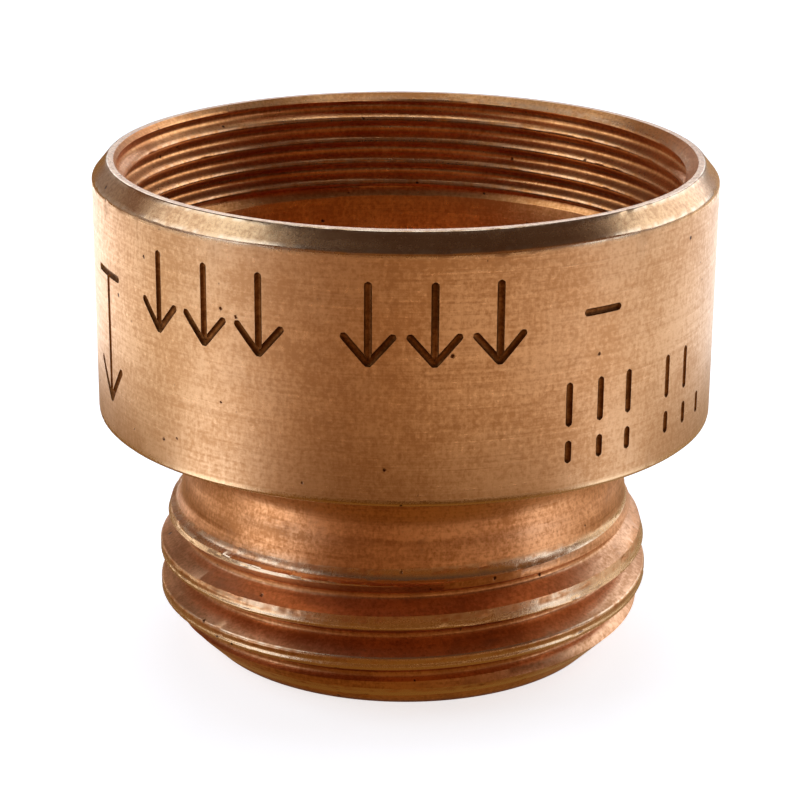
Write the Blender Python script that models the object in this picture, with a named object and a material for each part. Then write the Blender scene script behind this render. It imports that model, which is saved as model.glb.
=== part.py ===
"""Backflow preventer for a hose tap.

A turned brass body screws on to the tap with its fine inner thread and takes a garden hose on
its coarse outer thread. Inside it, a sprung poppet seals against a rubber diaphragm, so that
water passes downwards only. With no pressure the diaphragm stands clear of a lip round the
outlet, and air enters the hose through the ports of the ring that carries it.

The body stands on its outlet end, which lies at z = 0, with its axis on Z. Sizes are in metres.
"""

import math

import bmesh
import bpy

MM = 0.001
INCH = 25.4 * MM

# Facets round a turned piece, and on its small curves
BODY_SIDES = 60
INNER_SIDES = 36
FILLET_STEPS = 5
WINDOW_STEPS = 6
SNAP_STEPS = 30
SNAP_HOLE_SIDES = 10

# Points nearer than this are one, and a thread's outline has no shorter step up than that
WELD = 0.002 * MM
SHORTEST_STEP = 0.02 * MM

# A cutter reaches this far past what it cuts
PAST = 1.0 * MM

# The front faces -Y, three quarters of a turn from +X
FRONT_TURN = 0.75

# Clearances
SEAT_GAP = 0.2 * MM
SLIDE_GAP = 0.3 * MM

# Hose thread outside the outlet nipple
HOSE_THREAD_D = 26.99 * MM
HOSE_PITCH = INCH / 11.5
HOSE_THREAD_DEPTH = 1.2 * MM
HOSE_CREST_SHARE = 0.2
HOSE_ROOT_SHARE = 0.12
HOSE_FRONT_CREST = 3.29 * MM
LEAD_CHAMFER = 2.4 * MM
FULL_THREAD_LENGTH = 5.2 * MM
RUNOUT_LENGTH = 2.15 * MM
RUNOUT_DROP = 0.62 * MM
COVE_LENGTH = 1.15 * MM
RELIEF = 0.05 * MM
NECK_FLARE = 0.35 * MM
NECK_LENGTH = 1.7 * MM
NECK_FILLET = 2.9 * MM
MOST_FILLET_SHARE = 0.75

# Collar and its fine inner thread
INLET_THREAD_D = 30.7 * MM
INLET_PITCH = INCH / 20
INLET_THREAD_DEPTH = 0.55 * MM
INLET_CREST_SHARE = 0.25
INLET_ROOT_SHARE = 0.1
INLET_FIRST_CREST = 0.5 * MM
INLET_THREAD_LENGTH = 6.1 * MM
INLET_RUNOUT = 0.7 * MM
MOUTH_CHAMFER = 0.1 * MM
COLLAR_WALL = 1.26 * MM
COLLAR_LENGTH = 12.74 * MM
COLLAR_EDGE = 0.2 * MM
RIM_CHAMFER_WIDTH = 0.78 * MM
RIM_CHAMFER_HEIGHT = 0.94 * MM
FLOOR_THICKNESS = 1.1 * MM

# Outlet bore, vent groove and the lip that the diaphragm closes on
NIPPLE_WALL = 3.0 * MM
BORE_CHAMFER = 0.3 * MM
GUIDE_SHOULDER = 0.9 * MM
LIP_WALL = 0.9 * MM
LIP_ROUND = 0.2 * MM
VENT_GROOVE_WIDTH = 1.7 * MM
VENT_GROOVE_DEPTH = 2.2 * MM
VENT_LIFT = 1.1 * MM

# Ring that carries the diaphragm, with its air ports
VENT_RING_WALL = 1.9 * MM
VENT_SHELF_WIDTH = 1.8 * MM
VENT_SHELF_OVERHANG = 0.2 * MM
VENT_SHELF_HEIGHT = 1.3 * MM
VENT_PORTS = 10
VENT_PORT_WIDTH = 2.2 * MM
VENT_PORT_HEIGHT = 0.7 * MM
VENT_FLUTE_DEPTH = 0.7 * MM

# Diaphragm and inlet gasket
DIAPHRAGM_BEAD = 1.0 * MM
DIAPHRAGM_BEAD_WIDTH = 1.2 * MM
DIAPHRAGM_WEB = 0.7 * MM
DIAPHRAGM_RISE = 0.35 * MM
DIAPHRAGM_EDGE = 0.15 * MM
SEAL_LAP = 1.7 * MM
GASKET_THICKNESS = 1.0 * MM
GASKET_WIDTH = 3.6 * MM

# Poppet
FLOW_GAP = 1.5 * MM
POPPET_DISC = 1.2 * MM
POPPET_CONE = 0.9 * MM
POPPET_EDGE = 0.3 * MM
SEAL_BAND = 0.8 * MM
STEM_D = 2.6 * MM
SHOULDER_D = 4.0 * MM
STEM_REACH = 0.5 * MM
LIFT = 2.2 * MM

# Guide, with a hub on four arms, and the snap ring under it
GUIDE_RISE = 0.6 * MM
GUIDE_THICKNESS = 1.2 * MM
GUIDE_RIM = 1.3 * MM
HUB_D = 7.8 * MM
HUB_DEPTH = 0.9 * MM
ARMS = 4
ARM_WIDTH = 1.6 * MM
SNAP_THICKNESS = 0.8 * MM
SNAP_WIDTH = 1.2 * MM
SNAP_GROOVE = 0.8 * MM
SNAP_OPENING = 50
SNAP_LUG = 22
SNAP_LUG_WIDTH = 2.2 * MM
SNAP_HOLE_D = 1.1 * MM

# Spring
WIRE_D = 0.45 * MM
SPRING_D = 7.0 * MM
SPRING_TURNS = 4.0
DEAD_TURN = 0.75
DEAD_TURN_SPACING = 1.3
WIRE_STEPS = 14

# Radii and heights that follow
HOSE_R = HOSE_THREAD_D / 2
HOSE_ROOT_R = HOSE_R - HOSE_THREAD_DEPTH
NECK_BOTTOM_R = HOSE_ROOT_R - RELIEF
NECK_R = NECK_BOTTOM_R - NECK_FLARE
RUNOUT_END = FULL_THREAD_LENGTH + RUNOUT_LENGTH
NECK_BOTTOM = RUNOUT_END + COVE_LENGTH
NECK_TOP = NECK_BOTTOM + NECK_LENGTH
INLET_R = INLET_THREAD_D / 2
BORE_R = INLET_R - INLET_THREAD_DEPTH
MOUTH_R = INLET_R + MOUTH_CHAMFER
COLLAR_R = INLET_R + COLLAR_WALL
FILLET = min(NECK_FILLET, MOST_FILLET_SHARE * (COLLAR_R - NECK_R))
COLLAR_BOTTOM = NECK_TOP + FILLET
CHAMFER_BOTTOM = COLLAR_BOTTOM + COLLAR_LENGTH
RIM = CHAMFER_BOTTOM + RIM_CHAMFER_HEIGHT
RIM_R = COLLAR_R - RIM_CHAMFER_WIDTH
INLET_THREAD_BOTTOM = RIM - INLET_THREAD_LENGTH
FLOOR = COLLAR_BOTTOM + FLOOR_THICKNESS

VENT_RING_R = BORE_R - SLIDE_GAP
VENT_RING_BORE_R = VENT_RING_R - VENT_RING_WALL
SHELF_R = VENT_RING_BORE_R - VENT_SHELF_WIDTH

# The passage is as wide as both the nipple's wall and the vent ring's shelf leave it
NIPPLE_LEAVES = HOSE_ROOT_R - NIPPLE_WALL - GUIDE_SHOULDER
SHELF_LEAVES = SHELF_R + VENT_SHELF_OVERHANG - VENT_GROOVE_WIDTH - LIP_WALL
PASSAGE_R = min(NIPPLE_LEAVES, SHELF_LEAVES)
OUTLET_R = PASSAGE_R + GUIDE_SHOULDER
LIP_R = PASSAGE_R + LIP_WALL
GROOVE_R = LIP_R + VENT_GROOVE_WIDTH
GROOVE_FLOOR = FLOOR - VENT_GROOVE_DEPTH

VENT_RING_BOTTOM = FLOOR + SEAT_GAP
SHELF_TOP = VENT_RING_BOTTOM + VENT_SHELF_HEIGHT
DIAPHRAGM_R = VENT_RING_BORE_R - SLIDE_GAP
DIAPHRAGM_BOTTOM = SHELF_TOP + SEAT_GAP
DIAPHRAGM_TOP = DIAPHRAGM_BOTTOM + DIAPHRAGM_BEAD
LIP_TOP = DIAPHRAGM_BOTTOM - VENT_LIFT
GASKET_BOTTOM = DIAPHRAGM_TOP + SEAT_GAP
GASKET_R = VENT_RING_R - VENT_FLUTE_DEPTH - SLIDE_GAP

POPPET_R = PASSAGE_R - FLOW_GAP
HOLE_R = POPPET_R - SEAL_LAP
SEAL_TOP = DIAPHRAGM_BOTTOM + DIAPHRAGM_RISE - SEAT_GAP
POPPET_BOTTOM = SEAL_TOP - POPPET_DISC

GUIDE_TOP = NECK_BOTTOM + GUIDE_RISE
GUIDE_SEAT = GUIDE_TOP + SEAT_GAP
GUIDE_BOTTOM = GUIDE_TOP - GUIDE_THICKNESS
GUIDE_R = OUTLET_R - SLIDE_GAP
STEM_R = STEM_D / 2
STOP = GUIDE_TOP + SEAT_GAP + LIFT
STEM_END = GUIDE_BOTTOM - HUB_DEPTH - STEM_REACH
SNAP_TOP = GUIDE_BOTTOM - SEAT_GAP
SNAP_BOTTOM = SNAP_TOP - SNAP_THICKNESS
SNAP_GROOVE_R = OUTLET_R + SNAP_GROOVE
SNAP_R = SNAP_GROOVE_R - SEAT_GAP


def material(name, colour, metallic, roughness):
    """A plain Principled BSDF; colour is linear red, green and blue."""
    made = bpy.data.materials.new(name)
    made.use_nodes = True
    shader = made.node_tree.nodes["Principled BSDF"]
    shader.inputs["Base Color"].default_value = (*colour, 1.0)
    shader.inputs["Metallic"].default_value = metallic
    shader.inputs["Roughness"].default_value = roughness
    return made


def piece(name, shape, finish, smooth_angle=30):
    """Turns a bmesh into a named object with its finish, shaded smooth up to smooth_angle."""
    bmesh.ops.recalc_face_normals(shape, faces=shape.faces)
    mesh = bpy.data.meshes.new(name)
    shape.to_mesh(mesh)
    shape.free()
    mesh.shade_smooth()
    mesh.set_sharp_from_angle(angle=math.radians(smooth_angle))
    mesh.materials.append(finish)
    made = bpy.data.objects.new(name, mesh)
    bpy.context.scene.collection.objects.link(made)
    return made


def cut(target, name, shape):
    """Takes a closed shape away from the target with a live Boolean."""
    cutter = piece(name, shape, target.data.materials[0])
    cutter.hide_render = True
    cutter.display_type = "WIRE"
    modifier = target.modifiers.new(name, "BOOLEAN")
    modifier.operation = "DIFFERENCE"
    modifier.solver = "EXACT"
    modifier.object = cutter


def arc(centre_r, centre_z, radius, start, end, steps):
    """Profile points (r, z) on an arc, angles in degrees from the +r direction."""
    points = []
    for step in range(steps + 1):
        angle = math.radians(start + (end - start) * step / steps)
        points.append((centre_r + radius * math.cos(angle), centre_z + radius * math.sin(angle)))
    return points


def turn(shape, profile, sides, closed=True):
    """Spins a profile of (r, z) points round the Z axis into the shape."""
    corners = [shape.verts.new((r, 0.0, z)) for r, z in profile]
    ends = list(zip(corners, corners[1:]))
    if closed:
        ends.append((corners[-1], corners[0]))
    edges = [shape.edges.new(pair) for pair in ends]
    bmesh.ops.spin(
        shape,
        geom=corners + edges,
        axis=(0.0, 0.0, 1.0),
        cent=(0.0, 0.0, 0.0),
        angle=2 * math.pi,
        steps=sides,
        use_merge=True,
        use_duplicate=False,
    )


def turned(profile, sides):
    """A closed turned body, also where its profile ends on the axis."""
    shape = bmesh.new()
    turn(shape, profile, sides, closed=profile[0][0] > 0.0)
    bmesh.ops.remove_doubles(shape, verts=shape.verts, dist=WELD)
    return shape


def prism(shape, outline):
    """Adds a closed prism between two matching rings of points."""
    low, high = ([shape.verts.new(point) for point in ring] for ring in outline)
    shape.faces.new(low[::-1])
    shape.faces.new(high)
    for index, corner in enumerate(low):
        shape.faces.new((low[index - 1], corner, high[index], high[index - 1]))


class Thread:
    """One thread's form: how far its surface stands from the axis at each height and angle."""

    def __init__(self, crest_r, root_r, pitch, crest_share, root_share, crest_at_zero):
        self.crest_r = crest_r
        self.root_r = root_r
        self.pitch = pitch
        self.half_crest = pitch * crest_share / 2
        self.flank = pitch * (1 - crest_share - root_share) / 2
        self.crest_at_zero = crest_at_zero

    def crest_height(self, angle, turn_number):
        """Height of a crest's middle; the thread is right-handed."""
        return self.crest_at_zero + self.pitch * (turn_number + angle / (2 * math.pi))

    def radius(self, height, angle):
        """Radius of the full thread form, before its ends are cut back."""
        along = height - self.crest_height(angle, 0)
        along = abs(along - self.pitch * round(along / self.pitch))
        share = min(max((along - self.half_crest) / self.flank, 0.0), 1.0)
        return self.crest_r + share * (self.root_r - self.crest_r)


def crossing(margin, low, high):
    """Where a margin changes sign between two heights, or the lower one if it doesn't."""
    if margin(low) * margin(high) >= 0.0:
        return low
    below = margin(low)
    for _ in range(30):
        middle = (low + high) / 2
        if margin(middle) * below > 0.0:
            low = middle
        else:
            high = middle
    return (low + high) / 2


def threaded_wall(shape, thread, bottom, top, inner_limit, outer_limit, sides):
    """Adds the threaded surface between two plain circles.

    Each column of points follows the thread's true outline at its angle, cut back to the
    two limits, which are radii that depend on the height. The corners of the outline climb
    with the helix, and past the last column they meet the first one, a pitch higher.
    """

    def column(angle):
        def radius(height):
            cut_back = min(thread.radius(height, angle), outer_limit(height))
            return max(cut_back, inner_limit(height))

        def above(height):
            return outer_limit(height) - thread.radius(height, angle)

        def below(height):
            return thread.radius(height, angle) - inner_limit(height)

        heights = []
        for turn_number in range(first_turn, last_turn + 1):
            middle = thread.crest_height(angle, turn_number)
            outline = (
                middle - thread.half_crest - thread.flank,
                middle - thread.half_crest,
                middle + thread.half_crest,
                middle + thread.half_crest + thread.flank,
                middle - thread.half_crest - thread.flank + thread.pitch,
            )
            kept = [min(max(height, bottom), top) for height in outline]
            for low, high in zip(kept, kept[1:]):
                cut = crossing(above, low, high)
                if cut == low:
                    cut = crossing(below, low, high)
                heights += [low, cut]
        corners = []
        previous = None
        for height in heights:
            if top - height < SHORTEST_STEP:
                height = top
            elif height - bottom < SHORTEST_STEP:
                height = bottom
            if previous is None or height - previous > SHORTEST_STEP:
                r = radius(height)
                point = (r * math.cos(angle), r * math.sin(angle), height)
                corner = shape.verts.new(point)
                previous = height
            corners.append(corner)
        return corners

    reach = thread.half_crest + thread.flank + 2 * thread.pitch
    first_turn = math.floor((bottom - thread.crest_at_zero - reach) / thread.pitch)
    last_turn = math.ceil((top - thread.crest_at_zero + reach) / thread.pitch)
    corners_a_turn = 8
    columns = [column(2 * math.pi * side / sides) for side in range(sides)]
    lead = columns[0][corners_a_turn:] + [columns[0][-1]] * corners_a_turn
    for left, right in zip(columns, columns[1:] + [lead]):
        for index in range(len(left) - 1):
            around = [left[index], right[index], right[index + 1], left[index + 1]]
            distinct = list(dict.fromkeys(around))
            if len(distinct) > 2:
                shape.faces.new(distinct)


def hose_blank(height):
    """The nipple's radius before threading: lead chamfer, full part, run-out and cove."""
    nose = HOSE_R - LEAD_CHAMFER + height
    if height <= FULL_THREAD_LENGTH:
        return min(nose, HOSE_R)
    if height <= RUNOUT_END:
        share = (height - FULL_THREAD_LENGTH) / RUNOUT_LENGTH
        return HOSE_R - RUNOUT_DROP * share
    drop = max(HOSE_R - RUNOUT_DROP - NECK_BOTTOM_R, 0.0)
    left = min(max((NECK_BOTTOM - height) / COVE_LENGTH, 0.0), 1.0)
    return NECK_BOTTOM_R + drop * (1 - math.sqrt(1 - left**2))


def inlet_mouth(height):
    """The least radius of the inner thread: open at the rim's chamfer."""
    return max(BORE_R, MOUTH_R - (RIM - height))


def inlet_runout(height):
    """The greatest radius of the inner thread: it fades into the bore at its bottom."""
    share = min((height - INLET_THREAD_BOTTOM) / INLET_RUNOUT, 1.0)
    return max(BORE_R + INLET_THREAD_DEPTH * share, inlet_mouth(height))


def make_valve_body(finish):
    """The turned body: the outlet and socket inside, the nipple, neck and collar outside."""
    snap_floor = SNAP_BOTTOM - SEAT_GAP
    inside = [
        (BORE_R, INLET_THREAD_BOTTOM),
        (BORE_R, FLOOR),
        (GROOVE_R, FLOOR),
        (GROOVE_R, GROOVE_FLOOR),
        (LIP_R, GROOVE_FLOOR),
        (LIP_R, LIP_TOP - LIP_ROUND),
        (LIP_R - LIP_ROUND, LIP_TOP),
        (PASSAGE_R + LIP_ROUND, LIP_TOP),
        (PASSAGE_R, LIP_TOP - LIP_ROUND),
        (PASSAGE_R, GUIDE_SEAT),
        (OUTLET_R, GUIDE_SEAT),
        (OUTLET_R, GUIDE_BOTTOM),
        (SNAP_GROOVE_R, GUIDE_BOTTOM),
        (SNAP_GROOVE_R, snap_floor),
        (OUTLET_R, snap_floor),
        (OUTLET_R, BORE_CHAMFER),
        (OUTLET_R + BORE_CHAMFER, 0.0),
        (HOSE_R - LEAD_CHAMFER, 0.0),
    ]
    fillet = arc(NECK_R + FILLET, NECK_TOP, FILLET, 180, 90, FILLET_STEPS)
    outside = [
        (NECK_BOTTOM_R, NECK_BOTTOM),
        *fillet,
        (COLLAR_R - COLLAR_EDGE, COLLAR_BOTTOM),
        (COLLAR_R, COLLAR_BOTTOM + COLLAR_EDGE),
        (COLLAR_R, CHAMFER_BOTTOM),
        (RIM_R, RIM),
        (MOUTH_R, RIM),
    ]
    hose = Thread(
        HOSE_R,
        HOSE_ROOT_R,
        HOSE_PITCH,
        HOSE_CREST_SHARE,
        HOSE_ROOT_SHARE,
        HOSE_FRONT_CREST - FRONT_TURN * HOSE_PITCH,
    )
    inlet = Thread(
        BORE_R,
        INLET_R,
        INLET_PITCH,
        INLET_CREST_SHARE,
        INLET_ROOT_SHARE,
        INLET_THREAD_BOTTOM + INLET_FIRST_CREST,
    )
    shape = bmesh.new()
    turn(shape, inside, BODY_SIDES, closed=False)
    turn(shape, outside, BODY_SIDES, closed=False)
    threaded_wall(shape, hose, 0.0, NECK_BOTTOM, lambda z: 0.0, hose_blank, BODY_SIDES)
    threaded_wall(
        shape, inlet, INLET_THREAD_BOTTOM, RIM, inlet_mouth, inlet_runout, BODY_SIDES
    )
    bmesh.ops.remove_doubles(shape, verts=shape.verts, dist=WELD)
    piece("valve_body", shape, finish)


def radial_prism(shape, angle, outline, width):
    """Adds a prism that stands across a radius: outline is (r, z), width is along the turn."""
    across = (-math.sin(angle), math.cos(angle))
    rings = []
    for side in (-0.5, 0.5):
        ring = []
        for r, z in outline:
            x = r * math.cos(angle) + side * width * across[0]
            y = r * math.sin(angle) + side * width * across[1]
            ring.append((x, y, z))
        rings.append(ring)
    prism(shape, rings)


def make_vent_ring(finish):
    """Moulded ring on the socket's floor, with a shelf for the diaphragm and air ports."""
    profile = [
        (SHELF_R, VENT_RING_BOTTOM),
        (VENT_RING_R, VENT_RING_BOTTOM),
        (VENT_RING_R, DIAPHRAGM_TOP),
        (VENT_RING_BORE_R, DIAPHRAGM_TOP),
        (VENT_RING_BORE_R, SHELF_TOP),
        (SHELF_R, SHELF_TOP),
    ]
    ring = piece("vent_ring", turned(profile, INNER_SIDES), finish)
    flute_r = VENT_RING_R - VENT_FLUTE_DEPTH
    port_top = VENT_RING_BOTTOM + VENT_PORT_HEIGHT
    channel = [
        (SHELF_R - PAST, VENT_RING_BOTTOM - PAST),
        (VENT_RING_R + PAST, VENT_RING_BOTTOM - PAST),
        (VENT_RING_R + PAST, DIAPHRAGM_TOP + PAST),
        (flute_r, DIAPHRAGM_TOP + PAST),
        (flute_r, port_top),
        (SHELF_R - PAST, port_top),
    ]
    cutters = bmesh.new()
    for port in range(VENT_PORTS):
        angle = 2 * math.pi * (port + 0.5) / VENT_PORTS
        radial_prism(cutters, angle, channel, VENT_PORT_WIDTH)
    cut(ring, "vent_ports", cutters)


def make_diaphragm(finish):
    """Rubber disc with a bead at its rim, a raised web and a hole that the poppet closes."""
    bead_r = DIAPHRAGM_R - DIAPHRAGM_BEAD_WIDTH
    lap_r = HOLE_R + SEAL_LAP
    raised = DIAPHRAGM_BOTTOM + DIAPHRAGM_RISE
    web_top = DIAPHRAGM_BOTTOM + DIAPHRAGM_WEB
    profile = [
        (HOLE_R, raised),
        (lap_r, raised),
        (bead_r, DIAPHRAGM_BOTTOM),
        (DIAPHRAGM_R - DIAPHRAGM_EDGE, DIAPHRAGM_BOTTOM),
        (DIAPHRAGM_R, DIAPHRAGM_BOTTOM + DIAPHRAGM_EDGE),
        (DIAPHRAGM_R, DIAPHRAGM_TOP - DIAPHRAGM_EDGE),
        (DIAPHRAGM_R - DIAPHRAGM_EDGE, DIAPHRAGM_TOP),
        (bead_r, DIAPHRAGM_TOP),
        (bead_r, web_top),
        (lap_r, web_top + DIAPHRAGM_RISE),
        (HOLE_R, web_top + DIAPHRAGM_RISE),
    ]
    piece("diaphragm", turned(profile, INNER_SIDES), finish)


def make_inlet_gasket(finish):
    """Flat rubber washer that the tap's end presses on to the ring and the diaphragm."""
    top = GASKET_BOTTOM + GASKET_THICKNESS
    profile = [
        (GASKET_R - GASKET_WIDTH, GASKET_BOTTOM),
        (GASKET_R, GASKET_BOTTOM),
        (GASKET_R, top),
        (GASKET_R - GASKET_WIDTH, top),
    ]
    piece("inlet_gasket", turned(profile, INNER_SIDES), finish)


def make_poppet(finish):
    """Moulded disc with a nose through the diaphragm, a stop shoulder and a guide stem."""
    seal_r = POPPET_R - SEAL_BAND
    nose_r = HOLE_R - SLIDE_GAP
    profile = [
        (0.0, STEM_END),
        (STEM_R - POPPET_EDGE, STEM_END),
        (STEM_R, STEM_END + POPPET_EDGE),
        (STEM_R, STOP),
        (SHOULDER_D / 2, STOP),
        (SHOULDER_D / 2, POPPET_BOTTOM),
        (seal_r, POPPET_BOTTOM),
        (POPPET_R, POPPET_BOTTOM + POPPET_EDGE),
        (POPPET_R, SEAL_TOP - POPPET_EDGE),
        (POPPET_R - POPPET_EDGE, SEAL_TOP),
        (nose_r, SEAL_TOP),
        (nose_r - POPPET_CONE / 2, SEAL_TOP + POPPET_CONE),
        (0.0, SEAL_TOP + POPPET_CONE),
    ]
    piece("poppet", turned(profile, INNER_SIDES), finish)


def window(inner_r, outer_r, start, end):
    """Outline (x, y) of an opening between two circles and two straight arms."""
    points = []
    for r, turn_back in ((inner_r, False), (outer_r, True)):
        inset = math.asin(ARM_WIDTH / 2 / r)
        first, last = start + inset, end - inset
        row = []
        for step in range(WINDOW_STEPS + 1):
            angle = first + (last - first) * step / WINDOW_STEPS
            row.append((r * math.cos(angle), r * math.sin(angle)))
        points += row[::-1] if turn_back else row
    return points


def make_guide(finish):
    """Moulded spider in the outlet: a rim, four arms and a hub that the stem slides in."""
    hub_r = HUB_D / 2
    hole_r = STEM_R + SLIDE_GAP
    skirt_r = hub_r / 2 + hole_r / 2
    profile = [
        (hole_r, GUIDE_BOTTOM - HUB_DEPTH),
        (skirt_r, GUIDE_BOTTOM - HUB_DEPTH),
        (hub_r, GUIDE_BOTTOM),
        (GUIDE_R, GUIDE_BOTTOM),
        (GUIDE_R, GUIDE_TOP),
        (hole_r, GUIDE_TOP),
    ]
    guide = piece("guide", turned(profile, INNER_SIDES), finish)
    openings = bmesh.new()
    for arm in range(ARMS):
        start = 2 * math.pi * arm / ARMS
        end = 2 * math.pi * (arm + 1) / ARMS
        outline = window(hub_r + SEAT_GAP / 2, GUIDE_R - GUIDE_RIM, start, end)
        rings = []
        for z in (GUIDE_BOTTOM - PAST, GUIDE_TOP + PAST):
            rings.append([(x, y, z) for x, y in outline])
        prism(openings, rings)
    cut(guide, "guide_windows", openings)


def make_snap_ring(finish):
    """Flat spring-steel ring in the outlet's groove, open at one side between two lugs."""
    half_open = math.radians(SNAP_OPENING / 2)
    lug_end = half_open + math.radians(SNAP_LUG)
    outer = []
    inner = []
    for step in range(SNAP_STEPS + 1):
        angle = half_open + (2 * math.pi - 2 * half_open) * step / SNAP_STEPS
        from_gap = min(angle, 2 * math.pi - angle)
        share = min(max((lug_end - from_gap) / (lug_end - half_open) * 2, 0.0), 1.0)
        inner_r = SNAP_R - SNAP_WIDTH - (SNAP_LUG_WIDTH - SNAP_WIDTH) * share
        outer.append((SNAP_R * math.cos(angle), SNAP_R * math.sin(angle)))
        inner.append((inner_r * math.cos(angle), inner_r * math.sin(angle)))
    shape = bmesh.new()
    outline = outer + inner[::-1]
    rings = []
    for z in (SNAP_BOTTOM, SNAP_TOP):
        rings.append([(x, y, z) for x, y in outline])
    prism(shape, rings)
    ring = piece("snap_ring", shape, finish)
    holes = bmesh.new()
    hole_r = SNAP_R - SNAP_LUG_WIDTH / 2
    for side in (1, -1):
        angle = side * (half_open + SNAP_HOLE_D / hole_r)
        centre = (hole_r * math.cos(angle), hole_r * math.sin(angle))
        rings = []
        for z in (SNAP_BOTTOM - SNAP_THICKNESS, SNAP_TOP + SNAP_THICKNESS):
            circle = arc(*centre, SNAP_HOLE_D / 2, 0, 360, SNAP_HOLE_SIDES)[:-1]
            rings.append([(x, y, z) for x, y in circle])
        prism(holes, rings)
    cut(ring, "snap_holes", holes)


def make_spring(finish):
    """Closed-end wire spring from the guide's arms up to the poppet."""
    low = GUIDE_TOP + SEAT_GAP + WIRE_D / 2
    high = POPPET_BOTTOM - SEAT_GAP - WIRE_D / 2
    dead_rise = DEAD_TURN * DEAD_TURN_SPACING * WIRE_D
    curve = bpy.data.curves.new("spring", "CURVE")
    curve.dimensions = "3D"
    curve.bevel_depth = WIRE_D / 2
    curve.bevel_resolution = 1
    curve.use_fill_caps = True
    curve.twist_mode = "Z_UP"
    count = round(SPRING_TURNS * WIRE_STEPS) + 1
    path = curve.splines.new("POLY")
    path.points.add(count - 1)
    middle_r = (SPRING_D - WIRE_D) / 2
    for index in range(count):
        done = SPRING_TURNS * index / (count - 1)
        left = SPRING_TURNS - done
        if done < DEAD_TURN:
            z = low + dead_rise * done / DEAD_TURN
        elif left < DEAD_TURN:
            z = high - dead_rise * left / DEAD_TURN
        else:
            share = (done - DEAD_TURN) / (SPRING_TURNS - 2 * DEAD_TURN)
            z = low + dead_rise + (high - low - 2 * dead_rise) * share
        angle = 2 * math.pi * done
        point = (middle_r * math.cos(angle), middle_r * math.sin(angle), z, 1.0)
        path.points[index].co = point
    curve.materials.append(finish)
    spring = bpy.data.objects.new("spring", curve)
    bpy.context.scene.collection.objects.link(spring)


def main():
    for leftover in list(bpy.data.objects):
        bpy.data.objects.remove(leftover, do_unlink=True)
    make_valve_body(material("turned_brass", (0.45, 0.19, 0.07), 1.0, 0.32))
    make_vent_ring(material("vent_ring_acetal", (0.72, 0.70, 0.64), 0.0, 0.45))
    make_diaphragm(material("diaphragm_rubber", (0.02, 0.02, 0.02), 0.0, 0.7))
    make_inlet_gasket(material("gasket_rubber", (0.03, 0.03, 0.03), 0.0, 0.75))
    make_poppet(material("poppet_acetal", (0.74, 0.73, 0.70), 0.0, 0.4))
    make_spring(material("spring_steel", (0.55, 0.55, 0.54), 1.0, 0.25))
    make_guide(material("guide_acetal", (0.70, 0.69, 0.65), 0.0, 0.45))
    make_snap_ring(material("snap_ring_steel", (0.50, 0.50, 0.50), 1.0, 0.3))


main()
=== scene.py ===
"""Backflow preventer for a hose tap: the looks of the turned brass body and of what it holds.

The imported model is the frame. Every piece stands where its CAD node stands, outlet end down at
z = 0 with the axis on Z, in metres.
"""

import math

import bmesh
import bpy
from mathutils import Matrix


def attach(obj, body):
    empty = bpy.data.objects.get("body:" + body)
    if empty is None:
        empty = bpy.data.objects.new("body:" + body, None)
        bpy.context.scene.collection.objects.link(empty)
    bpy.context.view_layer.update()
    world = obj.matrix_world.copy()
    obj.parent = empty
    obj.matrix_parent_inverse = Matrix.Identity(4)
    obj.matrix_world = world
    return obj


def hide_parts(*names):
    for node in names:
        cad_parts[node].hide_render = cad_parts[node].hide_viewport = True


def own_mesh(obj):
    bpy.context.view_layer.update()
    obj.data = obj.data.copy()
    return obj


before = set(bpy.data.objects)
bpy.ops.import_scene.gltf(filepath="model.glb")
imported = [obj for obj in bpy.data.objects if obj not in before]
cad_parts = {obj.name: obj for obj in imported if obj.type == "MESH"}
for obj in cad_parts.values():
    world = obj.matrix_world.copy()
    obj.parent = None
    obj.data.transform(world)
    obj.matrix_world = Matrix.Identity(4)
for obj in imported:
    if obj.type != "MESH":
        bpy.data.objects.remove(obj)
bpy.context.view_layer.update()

# The body: one piece of red brass, turned from bar. The outside is a satin finish straight from
# the tool; the coarse hose thread and the fine inner thread are cut on the lathe, the tool's
# outline climbing one pitch a turn. Handling has nicked the edges and darkened the roots.

MM = 0.001
INCH = 25.4 * MM
FRONT = -math.pi / 2

hose_r = 13.495 * MM
hose_root_r = 12.295 * MM
hose_pitch = INCH / 11.5
hose_front_crest = 3.29 * MM
nose_r = 11.095 * MM
full_thread = 5.2 * MM
runout_end = 7.35 * MM
runout_r = 12.875 * MM
neck_bottom = 8.5 * MM
neck_bottom_r = 12.245 * MM
neck_top = 10.2 * MM
neck_top_r = 11.895 * MM
fillet_r = 2.9 * MM
collar_bottom = neck_top + fillet_r
collar_r = 16.61 * MM
chamfer_bottom = 25.84 * MM
rim = 26.78 * MM
rim_r = 15.83 * MM
mouth_r = 15.45 * MM
inlet_r = 15.35 * MM
inlet_bore_r = 14.8 * MM
inlet_pitch = INCH / 20
inlet_bottom = 20.68 * MM
inlet_first_crest = 0.5 * MM
inlet_runout = 0.7 * MM
floor_z = 14.2 * MM
groove_r = 10.995 * MM
groove_z = 12.0 * MM
lip_r = 9.295 * MM
lip_z = 14.8 * MM
passage_r = 8.395 * MM
guide_seat = 9.3 * MM
outlet_r = 9.295 * MM
snap_groove_r = 10.095 * MM
snap_groove_top = 7.9 * MM
snap_groove_bottom = 6.7 * MM
bore_chamfer = 0.3 * MM
neck_finish_top = collar_bottom + 0.05 * MM
body_columns = 400
body_turns = 9
nick_size = 0.6 * MM
nick_depth = 0.07 * MM
weld = 0.001 * MM


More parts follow.
